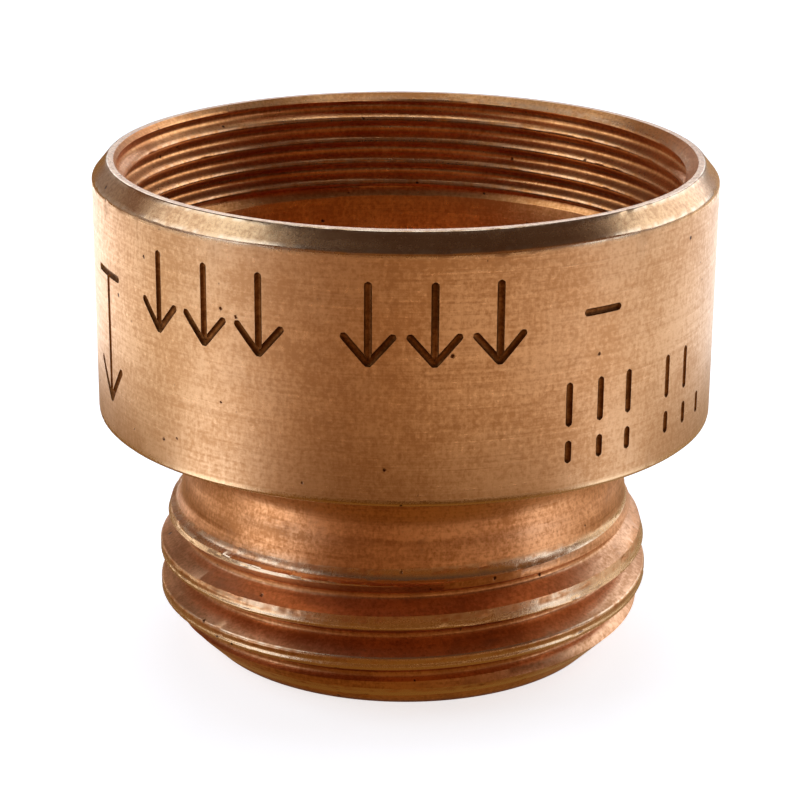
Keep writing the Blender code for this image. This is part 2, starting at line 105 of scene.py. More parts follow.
def soften(outline, steps=4):
    """Rounds the corners of (r, z, corner size, wear and painted glint) points, and gives (r, z,
    wear and painted glint) points.
    """
    points = []
    for index, (r, z, size, wear_and_glint) in enumerate(outline):
        if size == 0 or index in (0, len(outline) - 1):
            points.append((r, z, wear_and_glint))
            continue
        ends = []
        for other in (outline[index - 1], outline[index + 1]):
            share = min(size / math.dist((r, z), other[:2]), 0.45)
            ends.append((r + (other[0] - r) * share, z + (other[1] - z) * share))
        for step in range(steps + 1):
            t = step / steps
            one, two, three = (1 - t) ** 2, 2 * t * (1 - t), t**2
            points.append(
                (
                    one * ends[0][0] + two * r + three * ends[1][0],
                    one * ends[0][1] + two * z + three * ends[1][1],
                    wear_and_glint,
                )
            )
    return points


def filled_in(points, longest):
    """Puts more points on the long straights of an outline."""
    dense = [points[0]]
    for start, end in zip(points, points[1:]):
        count = max(1, math.ceil(math.dist(start[:2], end[:2]) / longest))
        for step in range(1, count + 1):
            share = step / count
            dense.append(tuple(a + (b - a) * share for a, b in zip(start, end)))
    return dense


def placed(name, data):
    """A new object in the scene, at the origin."""
    made = bpy.data.objects.new(name, data)
    bpy.context.scene.collection.objects.link(made)
    return made


def outline_object(name, points):
    """A chain of edges for a tree to read: radius in X, wear and painted glint in Y and height in
    Z.
    """
    mesh = bpy.data.meshes.new(name)
    mesh.from_pydata(
        [(r, wear_and_glint, z) for r, z, wear_and_glint in points],
        [(step, step + 1) for step in range(len(points) - 1)],
        [],
    )
    return placed(name, mesh)


def add(tree, kind, *values, out=0, **settings):
    """Adds a node: its settings, then a value or a link for each input that is in use."""
    made = tree.nodes.new(kind)
    for name, setting in settings.items():
        setattr(made, name, setting)
    for socket, value in zip([s for s in made.inputs if s.enabled], values):
        if isinstance(value, bpy.types.NodeSocket):
            tree.links.new(value, socket)
        elif value is not None:
            socket.default_value = value
    shown = [s for s in made.outputs if s.enabled]
    return shown[out] if shown else made


def new_tree(name, values):
    """An empty Geometry Nodes tree with an input for each named value, and the inputs' sockets."""
    kinds = {
        float: "NodeSocketFloat",
        int: "NodeSocketInt",
        bpy.types.Object: "NodeSocketObject",
        bpy.types.Material: "NodeSocketMaterial",
    }
    tree = bpy.data.node_groups.new(name, "GeometryNodeTree")
    tree.interface.new_socket("Geometry", in_out="INPUT", socket_type="NodeSocketGeometry")
    for label, value in values.items():
        tree.interface.new_socket(label, in_out="INPUT", socket_type=kinds[type(value)])
    tree.interface.new_socket("Geometry", in_out="OUTPUT", socket_type="NodeSocketGeometry")
    group = tree.nodes.new("NodeGroupInput")
    return tree, {socket.name: socket for socket in group.outputs if socket.name}


def finish_tree(tree, geometry, finish, where=True):
    """Ends a tree with real geometry and its material on it."""
    geometry = add(tree, "GeometryNodeRealizeInstances", geometry)
    geometry = add(tree, "GeometryNodeSetMaterial", geometry, where, finish)
    end = tree.nodes.new("NodeGroupOutput")
    tree.links.new(geometry, end.inputs[0])


def grown(name, tree, values, source=None):
    """Runs a tree once, keeps what it makes as a plain mesh and removes what it was made from."""
    made = placed(name, source or bpy.data.meshes.new(name))
    modifier = made.modifiers.new(name, "NODES")
    modifier.node_group = tree
    for item in tree.interface.items_tree:
        if item.name in values:
            modifier[item.identifier] = values[item.name]
    graph = bpy.context.evaluated_depsgraph_get()
    mesh = bpy.data.meshes.new_from_object(made.evaluated_get(graph))
    made.modifiers.clear()
    made.data = mesh
    for value in values.values():
        if isinstance(value, bpy.types.Object):
            bpy.data.objects.remove(value)
    return made


def shade(piece, sharp_from=40):
    """Turns every face outwards and shades the piece smooth up to an angle."""
    shape = bmesh.new()
    shape.from_mesh(piece.data)
    bmesh.ops.recalc_face_normals(shape, faces=shape.faces)
    shape.to_mesh(piece.data)
    shape.free()
    piece.data.shade_smooth()
    piece.data.set_sharp_from_angle(angle=math.radians(sharp_from))


def wall_points(tree, outline, columns, turns, pitch, start):
    """A grid laid round the axis that follows the outline: its geometry and four fields, which are
    the angle, the radius, the height and the wear and painted glint of each point."""
    table = add(tree, "GeometryNodeObjectInfo", outline, out=4)
    rows = add(tree, "GeometryNodeAttributeDomainSize", table)
    last = add(tree, "ShaderNodeMath", rows, 1.0, operation="SUBTRACT")
    length = add(tree, "ShaderNodeMath", columns, turns, operation="MULTIPLY")
    along = add(tree, "ShaderNodeMath", length, 1.0, operation="ADD")
    grid = add(tree, "GeometryNodeMeshGrid", length, last, along, rows)
    place = add(tree, "GeometryNodeInputPosition")
    split = tree.nodes.new("ShaderNodeSeparateXYZ")
    tree.links.new(place, split.inputs[0])
    half_length = add(tree, "ShaderNodeMath", length, 0.5, operation="MULTIPLY")
    half_rows = add(tree, "ShaderNodeMath", last, 0.5, operation="MULTIPLY")
    step = add(tree, "ShaderNodeMath", split.outputs[0], half_length, operation="ADD")
    row = add(tree, "ShaderNodeMath", split.outputs[1], half_rows, operation="ADD")
    row = add(tree, "ShaderNodeMath", row, operation="ROUND")
    turned = add(tree, "ShaderNodeMath", step, columns, operation="DIVIDE")
    angle = add(tree, "ShaderNodeMath", turned, math.tau, operation="MULTIPLY")
    point = add(tree, "GeometryNodeInputPosition")
    sampled = add(
        tree, "GeometryNodeSampleIndex", table, point, row, data_type="FLOAT_VECTOR", clamp=True
    )
    at = tree.nodes.new("ShaderNodeSeparateXYZ")
    tree.links.new(sampled, at.inputs[0])
    climb = add(tree, "ShaderNodeMath", turned, pitch, start, operation="MULTIPLY_ADD")
    height = add(tree, "ShaderNodeMath", climb, at.outputs[2], operation="ADD")
    return grid, angle, at.outputs[0], height, at.outputs[1]


def place_wall(tree, grid, angle, radius, height, finish, wear_and_glint=0.0, nick=0.0):
    """Moves the grid's points to their places, nicked where there is wear, with a finish. The
    stored wear is also a painted glint, broken up where the nicks fall.
    """
    cosine = add(tree, "ShaderNodeMath", angle, operation="COSINE")
    sine = add(tree, "ShaderNodeMath", angle, operation="SINE")
    heading = add(tree, "ShaderNodeCombineXYZ", cosine, sine, 0.0)
    level = add(tree, "ShaderNodeCombineXYZ", 0.0, 0.0, height)
    clean = add(tree, "ShaderNodeVectorMath", heading, radius, operation="SCALE")
    place = add(tree, "ShaderNodeVectorMath", clean, level, operation="ADD")
    chance = add(tree, "ShaderNodeTexNoise", place, 1 / nick_size, 3.0, 0.7)
    dented = add(tree, "ShaderNodeMapRange", chance, 0.58, 0.72, 0.0, nick)
    dented = add(tree, "ShaderNodeMath", dented, wear_and_glint, operation="MULTIPLY")
    kept = add(tree, "ShaderNodeMapRange", chance, 0.46, 0.58, 1.0, 0.0)
    firm = add(tree, "ShaderNodeMapRange", wear_and_glint, 0.75, 0.95, 0.0, 1.0)
    kept = add(tree, "ShaderNodeMath", kept, firm, operation="MAXIMUM")
    shown = add(tree, "ShaderNodeMath", kept, wear_and_glint, operation="MULTIPLY")
    radius = add(tree, "ShaderNodeMath", radius, dented, operation="ADD")
    moved = add(tree, "ShaderNodeVectorMath", heading, radius, operation="SCALE")
    place = add(tree, "ShaderNodeVectorMath", moved, level, operation="ADD")
    wall = add(tree, "GeometryNodeStoreNamedAttribute", grid, True, "wear_and_glint", shown)
    wall = add(tree, "GeometryNodeSetPosition", wall, True, place)
    return add(tree, "GeometryNodeSetMaterial", wall, True, finish)


def between(tree, height, bottom, top, fade, value):
    """A value that fades out towards two heights."""
    low = add(tree, "ShaderNodeMath", height, bottom, operation="SUBTRACT")
    high = add(tree, "ShaderNodeMath", top, height, operation="SUBTRACT")
    nearest = add(tree, "ShaderNodeMath", low, high, operation="MINIMUM")
    share = add(tree, "ShaderNodeMapRange", nearest, fade / 2, fade, 0.0, 1.0)
    return add(tree, "ShaderNodeMath", share, value, operation="MULTIPLY")


def linear(code):
    """An sRGB hex colour as linear red, green, blue and alpha."""
    values = [int(code[i : i + 2], 16) / 255 for i in (0, 2, 4)]
    return (*(v / 12.92 if v <= 0.04045 else ((v + 0.055) / 1.055) ** 2.4 for v in values), 1.0)


def new_material(name, metallic, roughness):
    """An empty Principled material, its tree and its shader."""
    made = bpy.data.materials.new(name)
    made.use_nodes = True
    shader = made.node_tree.nodes["Principled BSDF"]
    shader.inputs["Metallic"].default_value = metallic
    shader.inputs["Roughness"].default_value = roughness
    return made, made.node_tree, shader


def turned_brass(name, pale, deep, stain, roughness, feed, cut, stained, pitted):
    """Red brass off the lathe.

    Rings a feed apart run round the axis, broken by a fine grain; blotches shift it between a pale
    and a deep brown; stains and small pits are dark, and worn edges are bright and smooth. The pale
    edge colour is partly real wear and partly a painted highlight, a glint painted along the edges
    and crests.
    """
    ring_length, grain_size, blotch_size, patch_size = 9 * MM, 0.22 * MM, 3.6 * MM, 2.2 * MM
    fibre_width, fibre_length = 0.16 * MM, 0.9 * MM
    pit_spacing, pit_edge, pit_spread = 0.8 * MM, 0.12 * MM, 0.16 * MM
    made, tree, shader = new_material(name, 1.0, roughness)
    place = tree.nodes.new("ShaderNodeTexCoord").outputs["Object"]
    across = add(tree, "ShaderNodeVectorMath", place, (1.0, 1.0, 0.0), operation="MULTIPLY")
    reach = add(tree, "ShaderNodeVectorMath", across, operation="LENGTH")
    split = tree.nodes.new("ShaderNodeSeparateXYZ")
    tree.links.new(place, split.inputs[0])
    level = add(tree, "ShaderNodeMath", split.outputs[2], reach, operation="ADD")
    level = add(tree, "ShaderNodeMath", level, 1 / feed, operation="MULTIPLY")
    level = add(tree, "ShaderNodeCombineXYZ", 0.0, 0.0, level)
    ring_place = add(
        tree,
        "ShaderNodeVectorMath",
        across,
        (1 / ring_length,) * 3,
        level,
        operation="MULTIPLY_ADD",
    )
    rings = add(tree, "ShaderNodeTexNoise", ring_place, 1.0, 4.0, 0.7)
    fibre_scale = (1 / fibre_width, 1 / fibre_width, 1 / fibre_length)
    fibre_place = add(tree, "ShaderNodeVectorMath", place, fibre_scale, operation="MULTIPLY")
    fibres = add(tree, "ShaderNodeTexNoise", fibre_place, 1.0, 3.0, 0.6)
    grain = add(tree, "ShaderNodeTexNoise", place, 1 / grain_size, 3.0, 0.7)
    blotch = add(tree, "ShaderNodeTexNoise", place, 1 / blotch_size, 5.0, 0.62)
    patches = add(tree, "ShaderNodeTexNoise", place, 1 / patch_size, 6.0, 0.7, 2.0, 0.6)
    wear_and_glint = add(tree, "ShaderNodeAttribute", out=2, attribute_name="wear_and_glint")

    texture = add(tree, "ShaderNodeMath", rings, 0.5, operation="MULTIPLY")
    texture = add(tree, "ShaderNodeMath", fibres, 0.3, texture, operation="MULTIPLY_ADD")
    texture = add(tree, "ShaderNodeMath", grain, 0.5, texture, operation="MULTIPLY_ADD")
    toned = add(tree, "ShaderNodeMath", grain, 0.4, texture, operation="MULTIPLY_ADD")
    toned = add(tree, "ShaderNodeMath", blotch, 0.8, toned, operation="MULTIPLY_ADD")
    toned = add(tree, "ShaderNodeMapRange", toned, 1.1, 1.4, 0.0, 1.0)
    colour = add(tree, "ShaderNodeMix", toned, linear(deep), linear(pale), data_type="RGBA")

    # Stains gather in patches, and more of them where the texture is low
    dark = add(tree, "ShaderNodeMath", grain, 0.35, patches, operation="MULTIPLY_ADD")
    dark = add(tree, "ShaderNodeMapRange", dark, 0.9 - stained, 1.1 - stained, 0.0, 0.55)
    clear_of_wear_and_glint = add(tree, "ShaderNodeMath", 1.0, wear_and_glint, operation="SUBTRACT")
    dark = add(tree, "ShaderNodeMath", dark, clear_of_wear_and_glint, operation="MULTIPLY")
    colour = add(tree, "ShaderNodeMix", dark, colour, linear(stain), data_type="RGBA")
    # Partly real wear and partly a painted highlight: edges and crests go pale, a glint painted
    # into the colour
    colour = add(tree, "ShaderNodeMix", wear_and_glint, colour, linear("e6c6a2"), data_type="RGBA")

    # Pits, a tenth of a millimetre or so, in a few of the cells
    cells = tree.nodes.new("ShaderNodeTexVoronoi")
    ragged = add(tree, "ShaderNodeTexNoise", place, 1 / pit_edge, 2.0, out=1)
    ragged = add(
        tree, "ShaderNodeVectorMath", ragged, (pit_spread,) * 3, place, operation="MULTIPLY_ADD"
    )
    tree.links.new(ragged, cells.inputs["Vector"])
    cells.inputs["Scale"].default_value = 1 / pit_spacing
    chosen = tree.nodes.new("ShaderNodeSeparateXYZ")
    tree.links.new(cells.outputs["Color"], chosen.inputs[0])
    size = add(tree, "ShaderNodeMapRange", chosen.outputs[0], 1 - pitted, 1.0, 0.0, 0.17)
    pit = add(tree, "ShaderNodeMath", size, cells.outputs["Distance"], operation="SUBTRACT")
    pit = add(tree, "ShaderNodeMapRange", pit, 0.0, 0.06, 0.0, 1.0)
    colour = add(tree, "ShaderNodeMix", pit, colour, linear("4c2810"), data_type="RGBA")
    tree.links.new(colour, shader.inputs["Base Color"])

    rough = add(tree, "ShaderNodeMapRange", texture, 0.5, 0.8, roughness + 0.08, roughness - 0.06)
    rough = add(tree, "ShaderNodeMath", dark, 0.22, rough, operation="MULTIPLY_ADD")
    rough = add(tree, "ShaderNodeMath", wear_and_glint, -0.1, rough, operation="MULTIPLY_ADD")
    tree.links.new(rough, shader.inputs["Roughness"])

    raised = add(tree, "ShaderNodeMath", pit, -1.5, texture, operation="MULTIPLY_ADD")
    bump = add(tree, "ShaderNodeBump", 1.0, cut, None, raised)
    tree.links.new(bump, shader.inputs["Normal"])
    return made


# The collar: a satin cut with a close feed. The chamfer: a smooth facing cut with a dusky stain.
# The neck and the hose thread: rougher and tarnished. The inside: the same brass made more orange,
# a painted shade tint for the warm cast of shade in the bore.
satin_brass = turned_brass(
    "satin_turned_red_brass", "d3ae8c", "bd926b", "a07a3c", 0.33, 0.11 * MM, 0.01 * MM, 0.05, 0.2
)
faced_brass = turned_brass(
    "faced_red_brass_chamfer", "d2a474", "b8865a", "6e4a46", 0.24, 0.09 * MM, 0.004 * MM, 0.05, 0.1
)
thread_brass = turned_brass(
    "worn_red_brass_thread", "e4ac80", "bc8254", "744424", 0.34, 0.16 * MM, 0.012 * MM, 0.16, 0.3
)
# Painted shade: a more orange copy of the body's brass for the inside, standing in for the colour
# of shade there
inside_brass_shade_tint = turned_brass(
    "red_brass_inside_painted_shade_tint", "f0aa6a", "cc8044", "744420", 0.32, 0.2 * MM, 0.012 * MM, 0.12, 0.35
)
engraved_brass = turned_brass(
    "tarnish_in_milled_marks", "8a5a30", "6a3f1c", "4a2a12", 0.5, 0.2 * MM, 0.012 * MM, 0.2, 0.2
)

inside = soften(
    [
        (inlet_bore_r, inlet_bottom, 0, 0),
        (inlet_bore_r, floor_z, 0.15 * MM, 0),
        (groove_r, floor_z, 0.1 * MM, 0.5),
        (groove_r, groove_z, 0.1 * MM, 0),
        (lip_r, groove_z, 0.1 * MM, 0),
        (lip_r, lip_z, 0.25 * MM, 0.6),
        (passage_r, lip_z, 0.25 * MM, 0.6),
        (passage_r, guide_seat, 0.05 * MM, 0.3),
        (outlet_r, guide_seat, 0.05 * MM, 0),
        (outlet_r, snap_groove_top, 0.05 * MM, 0.3),
        (snap_groove_r, snap_groove_top, 0.05 * MM, 0),
        (snap_groove_r, snap_groove_bottom, 0.05 * MM, 0),
        (outlet_r, snap_groove_bottom, 0.05 * MM, 0.3),
        (outlet_r, bore_chamfer, 0.05 * MM, 0.3),
        (outlet_r + bore_chamfer, 0.0, 0.05 * MM, 0.6),
        (nose_r, 0.0, 0, 0),
    ],
    steps=1,
)
fillet_steps = 10
fillet = []
for step in range(fillet_steps + 1):
    turn = math.pi - math.pi / 2 * step / fillet_steps
    reach = neck_top_r + fillet_r + fillet_r * math.cos(turn)
    fillet.append((reach, neck_top + fillet_r * math.sin(turn), 0, 0))
# Two points across the chamfer keep its wear and painted edge glint to its edges
outside = filled_in(
    soften(
        [
            (neck_bottom_r, neck_bottom, 0, 0),
            *fillet,
            (collar_r, collar_bottom, 0.22 * MM, 1),
            (collar_r, collar_bottom + 0.45 * MM, 0, 0),
            (collar_r, chamfer_bottom - 0.3 * MM, 0, 0),
            (collar_r, chamfer_bottom, 0.1 * MM, 0.8),
            (0.75 * collar_r + 0.25 * rim_r, 0.75 * chamfer_bottom + 0.25 * rim, 0, 0.05),
            (0.2 * collar_r + 0.8 * rim_r, 0.2 * chamfer_bottom + 0.8 * rim, 0, 0.05),
            (rim_r, rim, 0.06 * MM, 0.8),
            (rim_r - 0.12 * MM, rim, 0, 0),
            (mouth_r, rim, 0, 0),
        ],
        steps=3,
    ),
    1.6 * MM,
)
# The hose thread's crest has two rounded burrs with a shallow hollow between them. Their wear, 1 on
# the lower burr and 0.7 on the upper, is partly a painted highlight, the bright lines along the
# crest
burr_r = 0.2 * MM
burr_offset = 0.2 * MM
burr_turns = (62, 47, 32, 16, 0, -20, -40)
upper_burr = []
for degrees in burr_turns:
    turn = math.radians(degrees)
    along = burr_offset + burr_r * math.sin(turn)
    upper_burr.append((hose_r - burr_r + burr_r * math.cos(turn), along, 0.7))
flank = soften(
    [
        (hose_root_r, -0.5 * hose_pitch, 0, 0),
        (hose_root_r, -0.42 * hose_pitch, 0.3 * MM, 0),
        (upper_burr[0][0], -upper_burr[0][1], 0, 0),
    ],
    steps=3,
)
lower_burr = [(r, -along, 1.0) for r, along, wear_and_glint in upper_burr[1:]]
upper_flank = [(r, -z, wear_and_glint) for r, z, wear_and_glint in reversed(flank)]
hose_form = [*flank, *lower_burr, *upper_burr[:0:-1], *upper_flank]

# The inner thread's crest is round and its root is wide. Its wear on the crests is partly a painted
# highlight along them
inlet_rows = 16
inlet_form = []
for step in range(inlet_rows + 1):
    share = step / inlet_rows - 0.5
    crest = (0.5 + 0.5 * math.cos(math.tau * share)) ** 1.5
    reach = inlet_r - (inlet_r - inlet_bore_r) * crest
    inlet_form.append((reach, share * inlet_pitch, 0.35 * crest**4))

body_sizes = {
    "Inside": outline_object("inside_outline", inside),
    "Outside": outline_object("outside_outline", outside),
    "Hose form": outline_object("hose_form", hose_form),
    "Inlet form": outline_object("inlet_form", inlet_form),
    "Columns": body_columns,
    "Turns": body_turns,
    "Hose pitch": hose_pitch,
    "Hose front crest": hose_front_crest,
    "Nose radius": nose_r,
    "Hose radius": hose_r,
    "Full thread": full_thread,
    "Run-out end": runout_end,
    "Run-out radius": runout_r,
    "Neck bottom": neck_bottom,
    "Neck radius": neck_bottom_r,
    "Collar bottom": neck_finish_top,
    "Inlet pitch": inlet_pitch,
    "Inlet bottom": inlet_bottom,
    "Inlet first crest": inlet_first_crest,
    "Inlet run-out": inlet_runout,
    "Inlet radius": inlet_r,
    "Inlet bore radius": inlet_bore_r,
    "Mouth radius": mouth_r,
    "Chamfer bottom": chamfer_bottom,
    "Rim": rim,
    "Nick": nick_depth,
}
tree, size = new_tree("turned_and_threaded_body", body_sizes)
inward = add(tree, "ShaderNodeMath", size["Nick"], -1.0, operation="MULTIPLY")
walls = []
for label, finish in (("Inside", inside_brass_shade_tint), ("Outside", satin_brass)):
    *parts, wear_and_glint = wall_points(tree, size[label], size["Columns"], 1.0, 0.0, 0.0)
    walls.append(place_wall(tree, *parts, finish, wear_and_glint, inward if label == "Outside" else 0.0))

# The hose thread: its form, cut back by the nose's chamfer, the run-out and the cove
front_share = FRONT / math.tau % 1.0
turns_below = 2.0
wear_and_glint_fade = 0.5 * MM
lift = add(
    tree, "ShaderNodeMath", size["Hose pitch"], -front_share - turns_below, operation="MULTIPLY"
)
start = add(tree, "ShaderNodeMath", lift, size["Hose front crest"], operation="ADD")
grid, angle, radius, height, wear_and_glint = wall_points(
    tree, size["Hose form"], size["Columns"], size["Turns"], size["Hose pitch"], start
)
height = add(tree, "ShaderNodeMath", height, 0.0, operation="MAXIMUM")
height = add(tree, "ShaderNodeMath", height, size["Neck bottom"], operation="MINIMUM")
nose = add(tree, "ShaderNodeMath", size["Nose radius"], height, operation="ADD")
taper = add(
    tree,
    "ShaderNodeMapRange",
    height,
    size["Full thread"],
    size["Run-out end"],
    size["Hose radius"],
    size["Run-out radius"],
)
# Above the run-out the blank curves in to the neck, a quarter of an ellipse
left = add(tree, "ShaderNodeMapRange", height, size["Run-out end"], size["Neck bottom"], 1.0, 0.0)
squared = add(tree, "ShaderNodeMath", left, left, operation="MULTIPLY")
rest = add(tree, "ShaderNodeMath", 1.0, squared, operation="SUBTRACT")
bend = add(tree, "ShaderNodeMath", rest, operation="SQRT")
drop = add(
    tree, "ShaderNodeMath", size["Neck radius"], size["Run-out radius"], operation="SUBTRACT"
)
blank = add(tree, "ShaderNodeMath", drop, bend, taper, operation="MULTIPLY_ADD")
radius = add(tree, "ShaderNodeMath", radius, blank, operation="MINIMUM")
radius = add(tree, "ShaderNodeMath", radius, nose, operation="MINIMUM")
wear_and_glint = between(tree, height, 0.0, size["Neck bottom"], wear_and_glint_fade, wear_and_glint)
walls.append(place_wall(tree, grid, angle, radius, height, thread_brass, wear_and_glint, inward))

# The inner thread: its form, fading into the bore below and open at the mouth's chamfer
lift = add(
    tree,
    "ShaderNodeMath",
    size["Inlet pitch"],
    -turns_below,
    size["Inlet first crest"],
    operation="MULTIPLY_ADD",
)
start = add(tree, "ShaderNodeMath", lift, size["Inlet bottom"], operation="ADD")
grid, angle, radius, height, wear_and_glint = wall_points(
    tree, size["Inlet form"], size["Columns"], size["Turns"], size["Inlet pitch"], start
)
height = add(tree, "ShaderNodeMath", height, size["Inlet bottom"], operation="MAXIMUM")
height = add(tree, "ShaderNodeMath", height, size["Rim"], operation="MINIMUM")
fade_top = add(tree, "ShaderNodeMath", size["Inlet bottom"], size["Inlet run-out"], operation="ADD")
fade = add(
    tree,
    "ShaderNodeMapRange",
    height,
    size["Inlet bottom"],
    fade_top,
    size["Inlet bore radius"],
    size["Inlet radius"],
)
below = add(tree, "ShaderNodeMath", height, size["Rim"], operation="SUBTRACT")
mouth = add(tree, "ShaderNodeMath", below, size["Mouth radius"], operation="ADD")
radius = add(tree, "ShaderNodeMath", radius, fade, operation="MINIMUM")
radius = add(tree, "ShaderNodeMath", radius, mouth, operation="MAXIMUM")
wear_and_glint = between(tree, height, size["Inlet bottom"], size["Rim"], 0.6 * wear_and_glint_fade, wear_and_glint)
walls.append(place_wall(tree, grid, angle, radius, height, inside_brass_shade_tint, wear_and_glint, size["Nick"]))

join = tree.nodes.new("GeometryNodeJoinGeometry")
for wall in walls:
    tree.links.new(wall, join.inputs[0])
welded = add(tree, "GeometryNodeMergeByDistance", join.outputs[0], True, weld)
place = tree.nodes.new("ShaderNodeSeparateXYZ")
tree.links.new(add(tree, "GeometryNodeInputPosition"), place.inputs[0])
across = add(tree, "ShaderNodeCombineXYZ", place.outputs[0], place.outputs[1], 0.0)
reach = add(tree, "ShaderNodeVectorMath", across, operation="LENGTH")
high = add(
    tree, "FunctionNodeCompare", place.outputs[2], size["Chamfer bottom"], operation="GREATER_THAN"
)
wide = add(tree, "FunctionNodeCompare", reach, size["Mouth radius"], operation="GREATER_THAN")
both = add(tree, "FunctionNodeBooleanMath", high, wide, operation="AND")
low = add(
    tree, "FunctionNodeCompare", place.outputs[2], size["Collar bottom"], operation="LESS_THAN"
)
outer = add(tree, "FunctionNodeCompare", reach, size["Nose radius"], operation="GREATER_THAN")
neck = add(tree, "FunctionNodeBooleanMath", low, outer, operation="AND")
welded = add(tree, "GeometryNodeSetMaterial", welded, neck, thread_brass)
finish_tree(tree, welded, faced_brass, both)

body = grown("brass_body", tree, body_sizes)
shade(body)

# Generic marks milled into the collar after turning: arrows that point the way the water goes,
# a dash beside them and rows of short ticks below, cut with a round-nosed engraving cutter.

mark_cutter_r = 0.2 * MM
mark_depth = 0.15 * MM
mark_step = 0.1 * MM
cutter_sides = 12
mark_columns = (-47, -36, -25, -6, 5, 16)
mark_top = 24.5 * MM
mark_foot = 20.4 * MM
head_width = 1.3 * MM
head_rise = 1.5 * MM
dash, dash_height = (31.5, 39.5), 22.3 * MM
tick_columns = (29, 35.5, 42, 53, 59.5, 66)
long_tick = (18.9 * MM, 16.6 * MM)
short_tick = (15.9 * MM, 14.7 * MM)
tall_mark, tall_wing = -66, 5.5
tall_top, tall_wing_height, tall_shaft_foot, tall_foot = 22.0 * MM, 17.2 * MM, 15.3 * MM, 15.2 * MM

# Each stroke is a list of points on the unrolled collar: degrees from the front, and height
shafts, heads = [], []
wing = math.degrees(head_width / collar_r)
for azimuth in mark_columns:
    shafts.append([(azimuth, mark_top), (azimuth, mark_foot + 0.1 * MM)])
    heads.append(
        [
            (azimuth - wing, mark_foot + head_rise),
            (azimuth, mark_foot),
            (azimuth + wing, mark_foot + head_rise),
        ]
    )
shafts.append([(azimuth, dash_height) for azimuth in dash])
for tick, columns in ((long_tick, tick_columns[:-1]), (short_tick, tick_columns)):
    for azimuth in columns:
        shafts.append([(azimuth, height) for height in tick])
left, right = tall_mark - tall_wing, tall_mark + tall_wing
shafts.append([(tall_mark, tall_top), (tall_mark, tall_shaft_foot)])
heads.append([(left, tall_wing_height), (tall_mark, tall_foot), (right, tall_wing_height)])
heads.append([(left, tall_top), (right, tall_top)])


def strokes_object(name, strokes):
    """Strokes on the unrolled collar as edges for a tree: the turned length in X, height in Z."""
    points, edges = [], []
    for stroke in strokes:
        for step, (azimuth, height) in enumerate(stroke):
            if step:
                edges.append((len(points) - 1, len(points)))
            points.append((collar_r * (math.radians(azimuth) + FRONT), 0.0, height))
    mesh = bpy.data.meshes.new(name)
    mesh.from_pydata(points, edges, [])
    return placed(name, mesh)


mark_sizes = {
    "Shafts": strokes_object("shaft_strokes", shafts),
    "Heads": strokes_object("head_strokes", heads),
    "Collar radius": collar_r,
    "Cutter radius": mark_cutter_r,
    "Depth": mark_depth,
    "Step": mark_step,
    "Cutter sides": cutter_sides,
}
tree, size = new_tree("milled_marks", mark_sizes)
solid = size["Geometry"]
up = add(tree, "ShaderNodeMath", size["Cutter radius"], size["Depth"], operation="SUBTRACT")
centre_r = add(tree, "ShaderNodeMath", size["Collar radius"], up, operation="ADD")
for label in ("Shafts", "Heads"):
    strokes = add(tree, "GeometryNodeObjectInfo", size[label], out=4)
    strokes = add(tree, "GeometryNodeMeshToCurve", strokes)
    strokes = add(tree, "GeometryNodeResampleCurve", strokes, True, size["Step"], mode="LENGTH")
    # The stroke's ends are as round as the cutter
    along = add(tree, "GeometryNodeSplineParameter", out=1)
    length = add(tree, "GeometryNodeSplineLength")
    left = add(tree, "ShaderNodeMath", length, along, operation="SUBTRACT")
    from_end = add(tree, "ShaderNodeMath", along, left, operation="MINIMUM")
    share = add(tree, "ShaderNodeMath", from_end, size["Cutter radius"], operation="DIVIDE")
    share = add(tree, "ShaderNodeMath", 1.0, share, operation="SUBTRACT")
    share = add(tree, "ShaderNodeMath", share, 0.0, operation="MAXIMUM")
    share = add(tree, "ShaderNodeMath", share, share, operation="MULTIPLY")
    share = add(tree, "ShaderNodeMath", 1.05, share, operation="SUBTRACT")
    share = add(tree, "ShaderNodeMath", share, operation="SQRT")
    place = tree.nodes.new("ShaderNodeSeparateXYZ")
    tree.links.new(add(tree, "GeometryNodeInputPosition"), place.inputs[0])
    turn = add(tree, "ShaderNodeMath", place.outputs[0], size["Collar radius"], operation="DIVIDE")
    cosine = add(tree, "ShaderNodeMath", turn, operation="COSINE")
    sine = add(tree, "ShaderNodeMath", turn, operation="SINE")
    x = add(tree, "ShaderNodeMath", cosine, centre_r, operation="MULTIPLY")
    y = add(tree, "ShaderNodeMath", sine, centre_r, operation="MULTIPLY")
    wrapped = add(tree, "ShaderNodeCombineXYZ", x, y, place.outputs[2])
    strokes = add(tree, "GeometryNodeSetPosition", strokes, True, wrapped)
    cutter = add(
        tree, "GeometryNodeCurvePrimitiveCircle", size["Cutter sides"], size["Cutter radius"]
    )
    cutter = add(tree, "GeometryNodeCurveToMesh", strokes, cutter, share, True)
    cutter = add(tree, "GeometryNodeSetMaterial", cutter, True, engraved_brass)
    solid = add(
        tree, "GeometryNodeMeshBoolean", solid, cutter, operation="DIFFERENCE", solver="MANIFOLD"
    )
end = tree.nodes.new("NodeGroupOutput")
tree.links.new(add(tree, "GeometryNodeRealizeInstances", solid), end.inputs[0])

plain_mesh = body.data
bpy.data.objects.remove(body)
body = grown("brass_body", tree, mark_sizes, plain_mesh)
shade(body)
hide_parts("valve_body")
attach(body, "housing")

# The guide: a spider moulded in white acetal, a rim and four arms round a skirted hub. It rests
# on the shoulder in the outlet bore and the poppet's stem slides in it.

guide_r = 8.995 * MM
guide_bottom = 7.9 * MM
guide_top = 9.1 * MM
guide_hole_r = 1.6 * MM
hub_r = 3.9 * MM
skirt_r = 2.75 * MM
skirt_bottom = 7.0 * MM
guide_window = (4.0 * MM, 7.695 * MM)
arm_width = 1.6 * MM
arms = 4
moulded_columns = 144


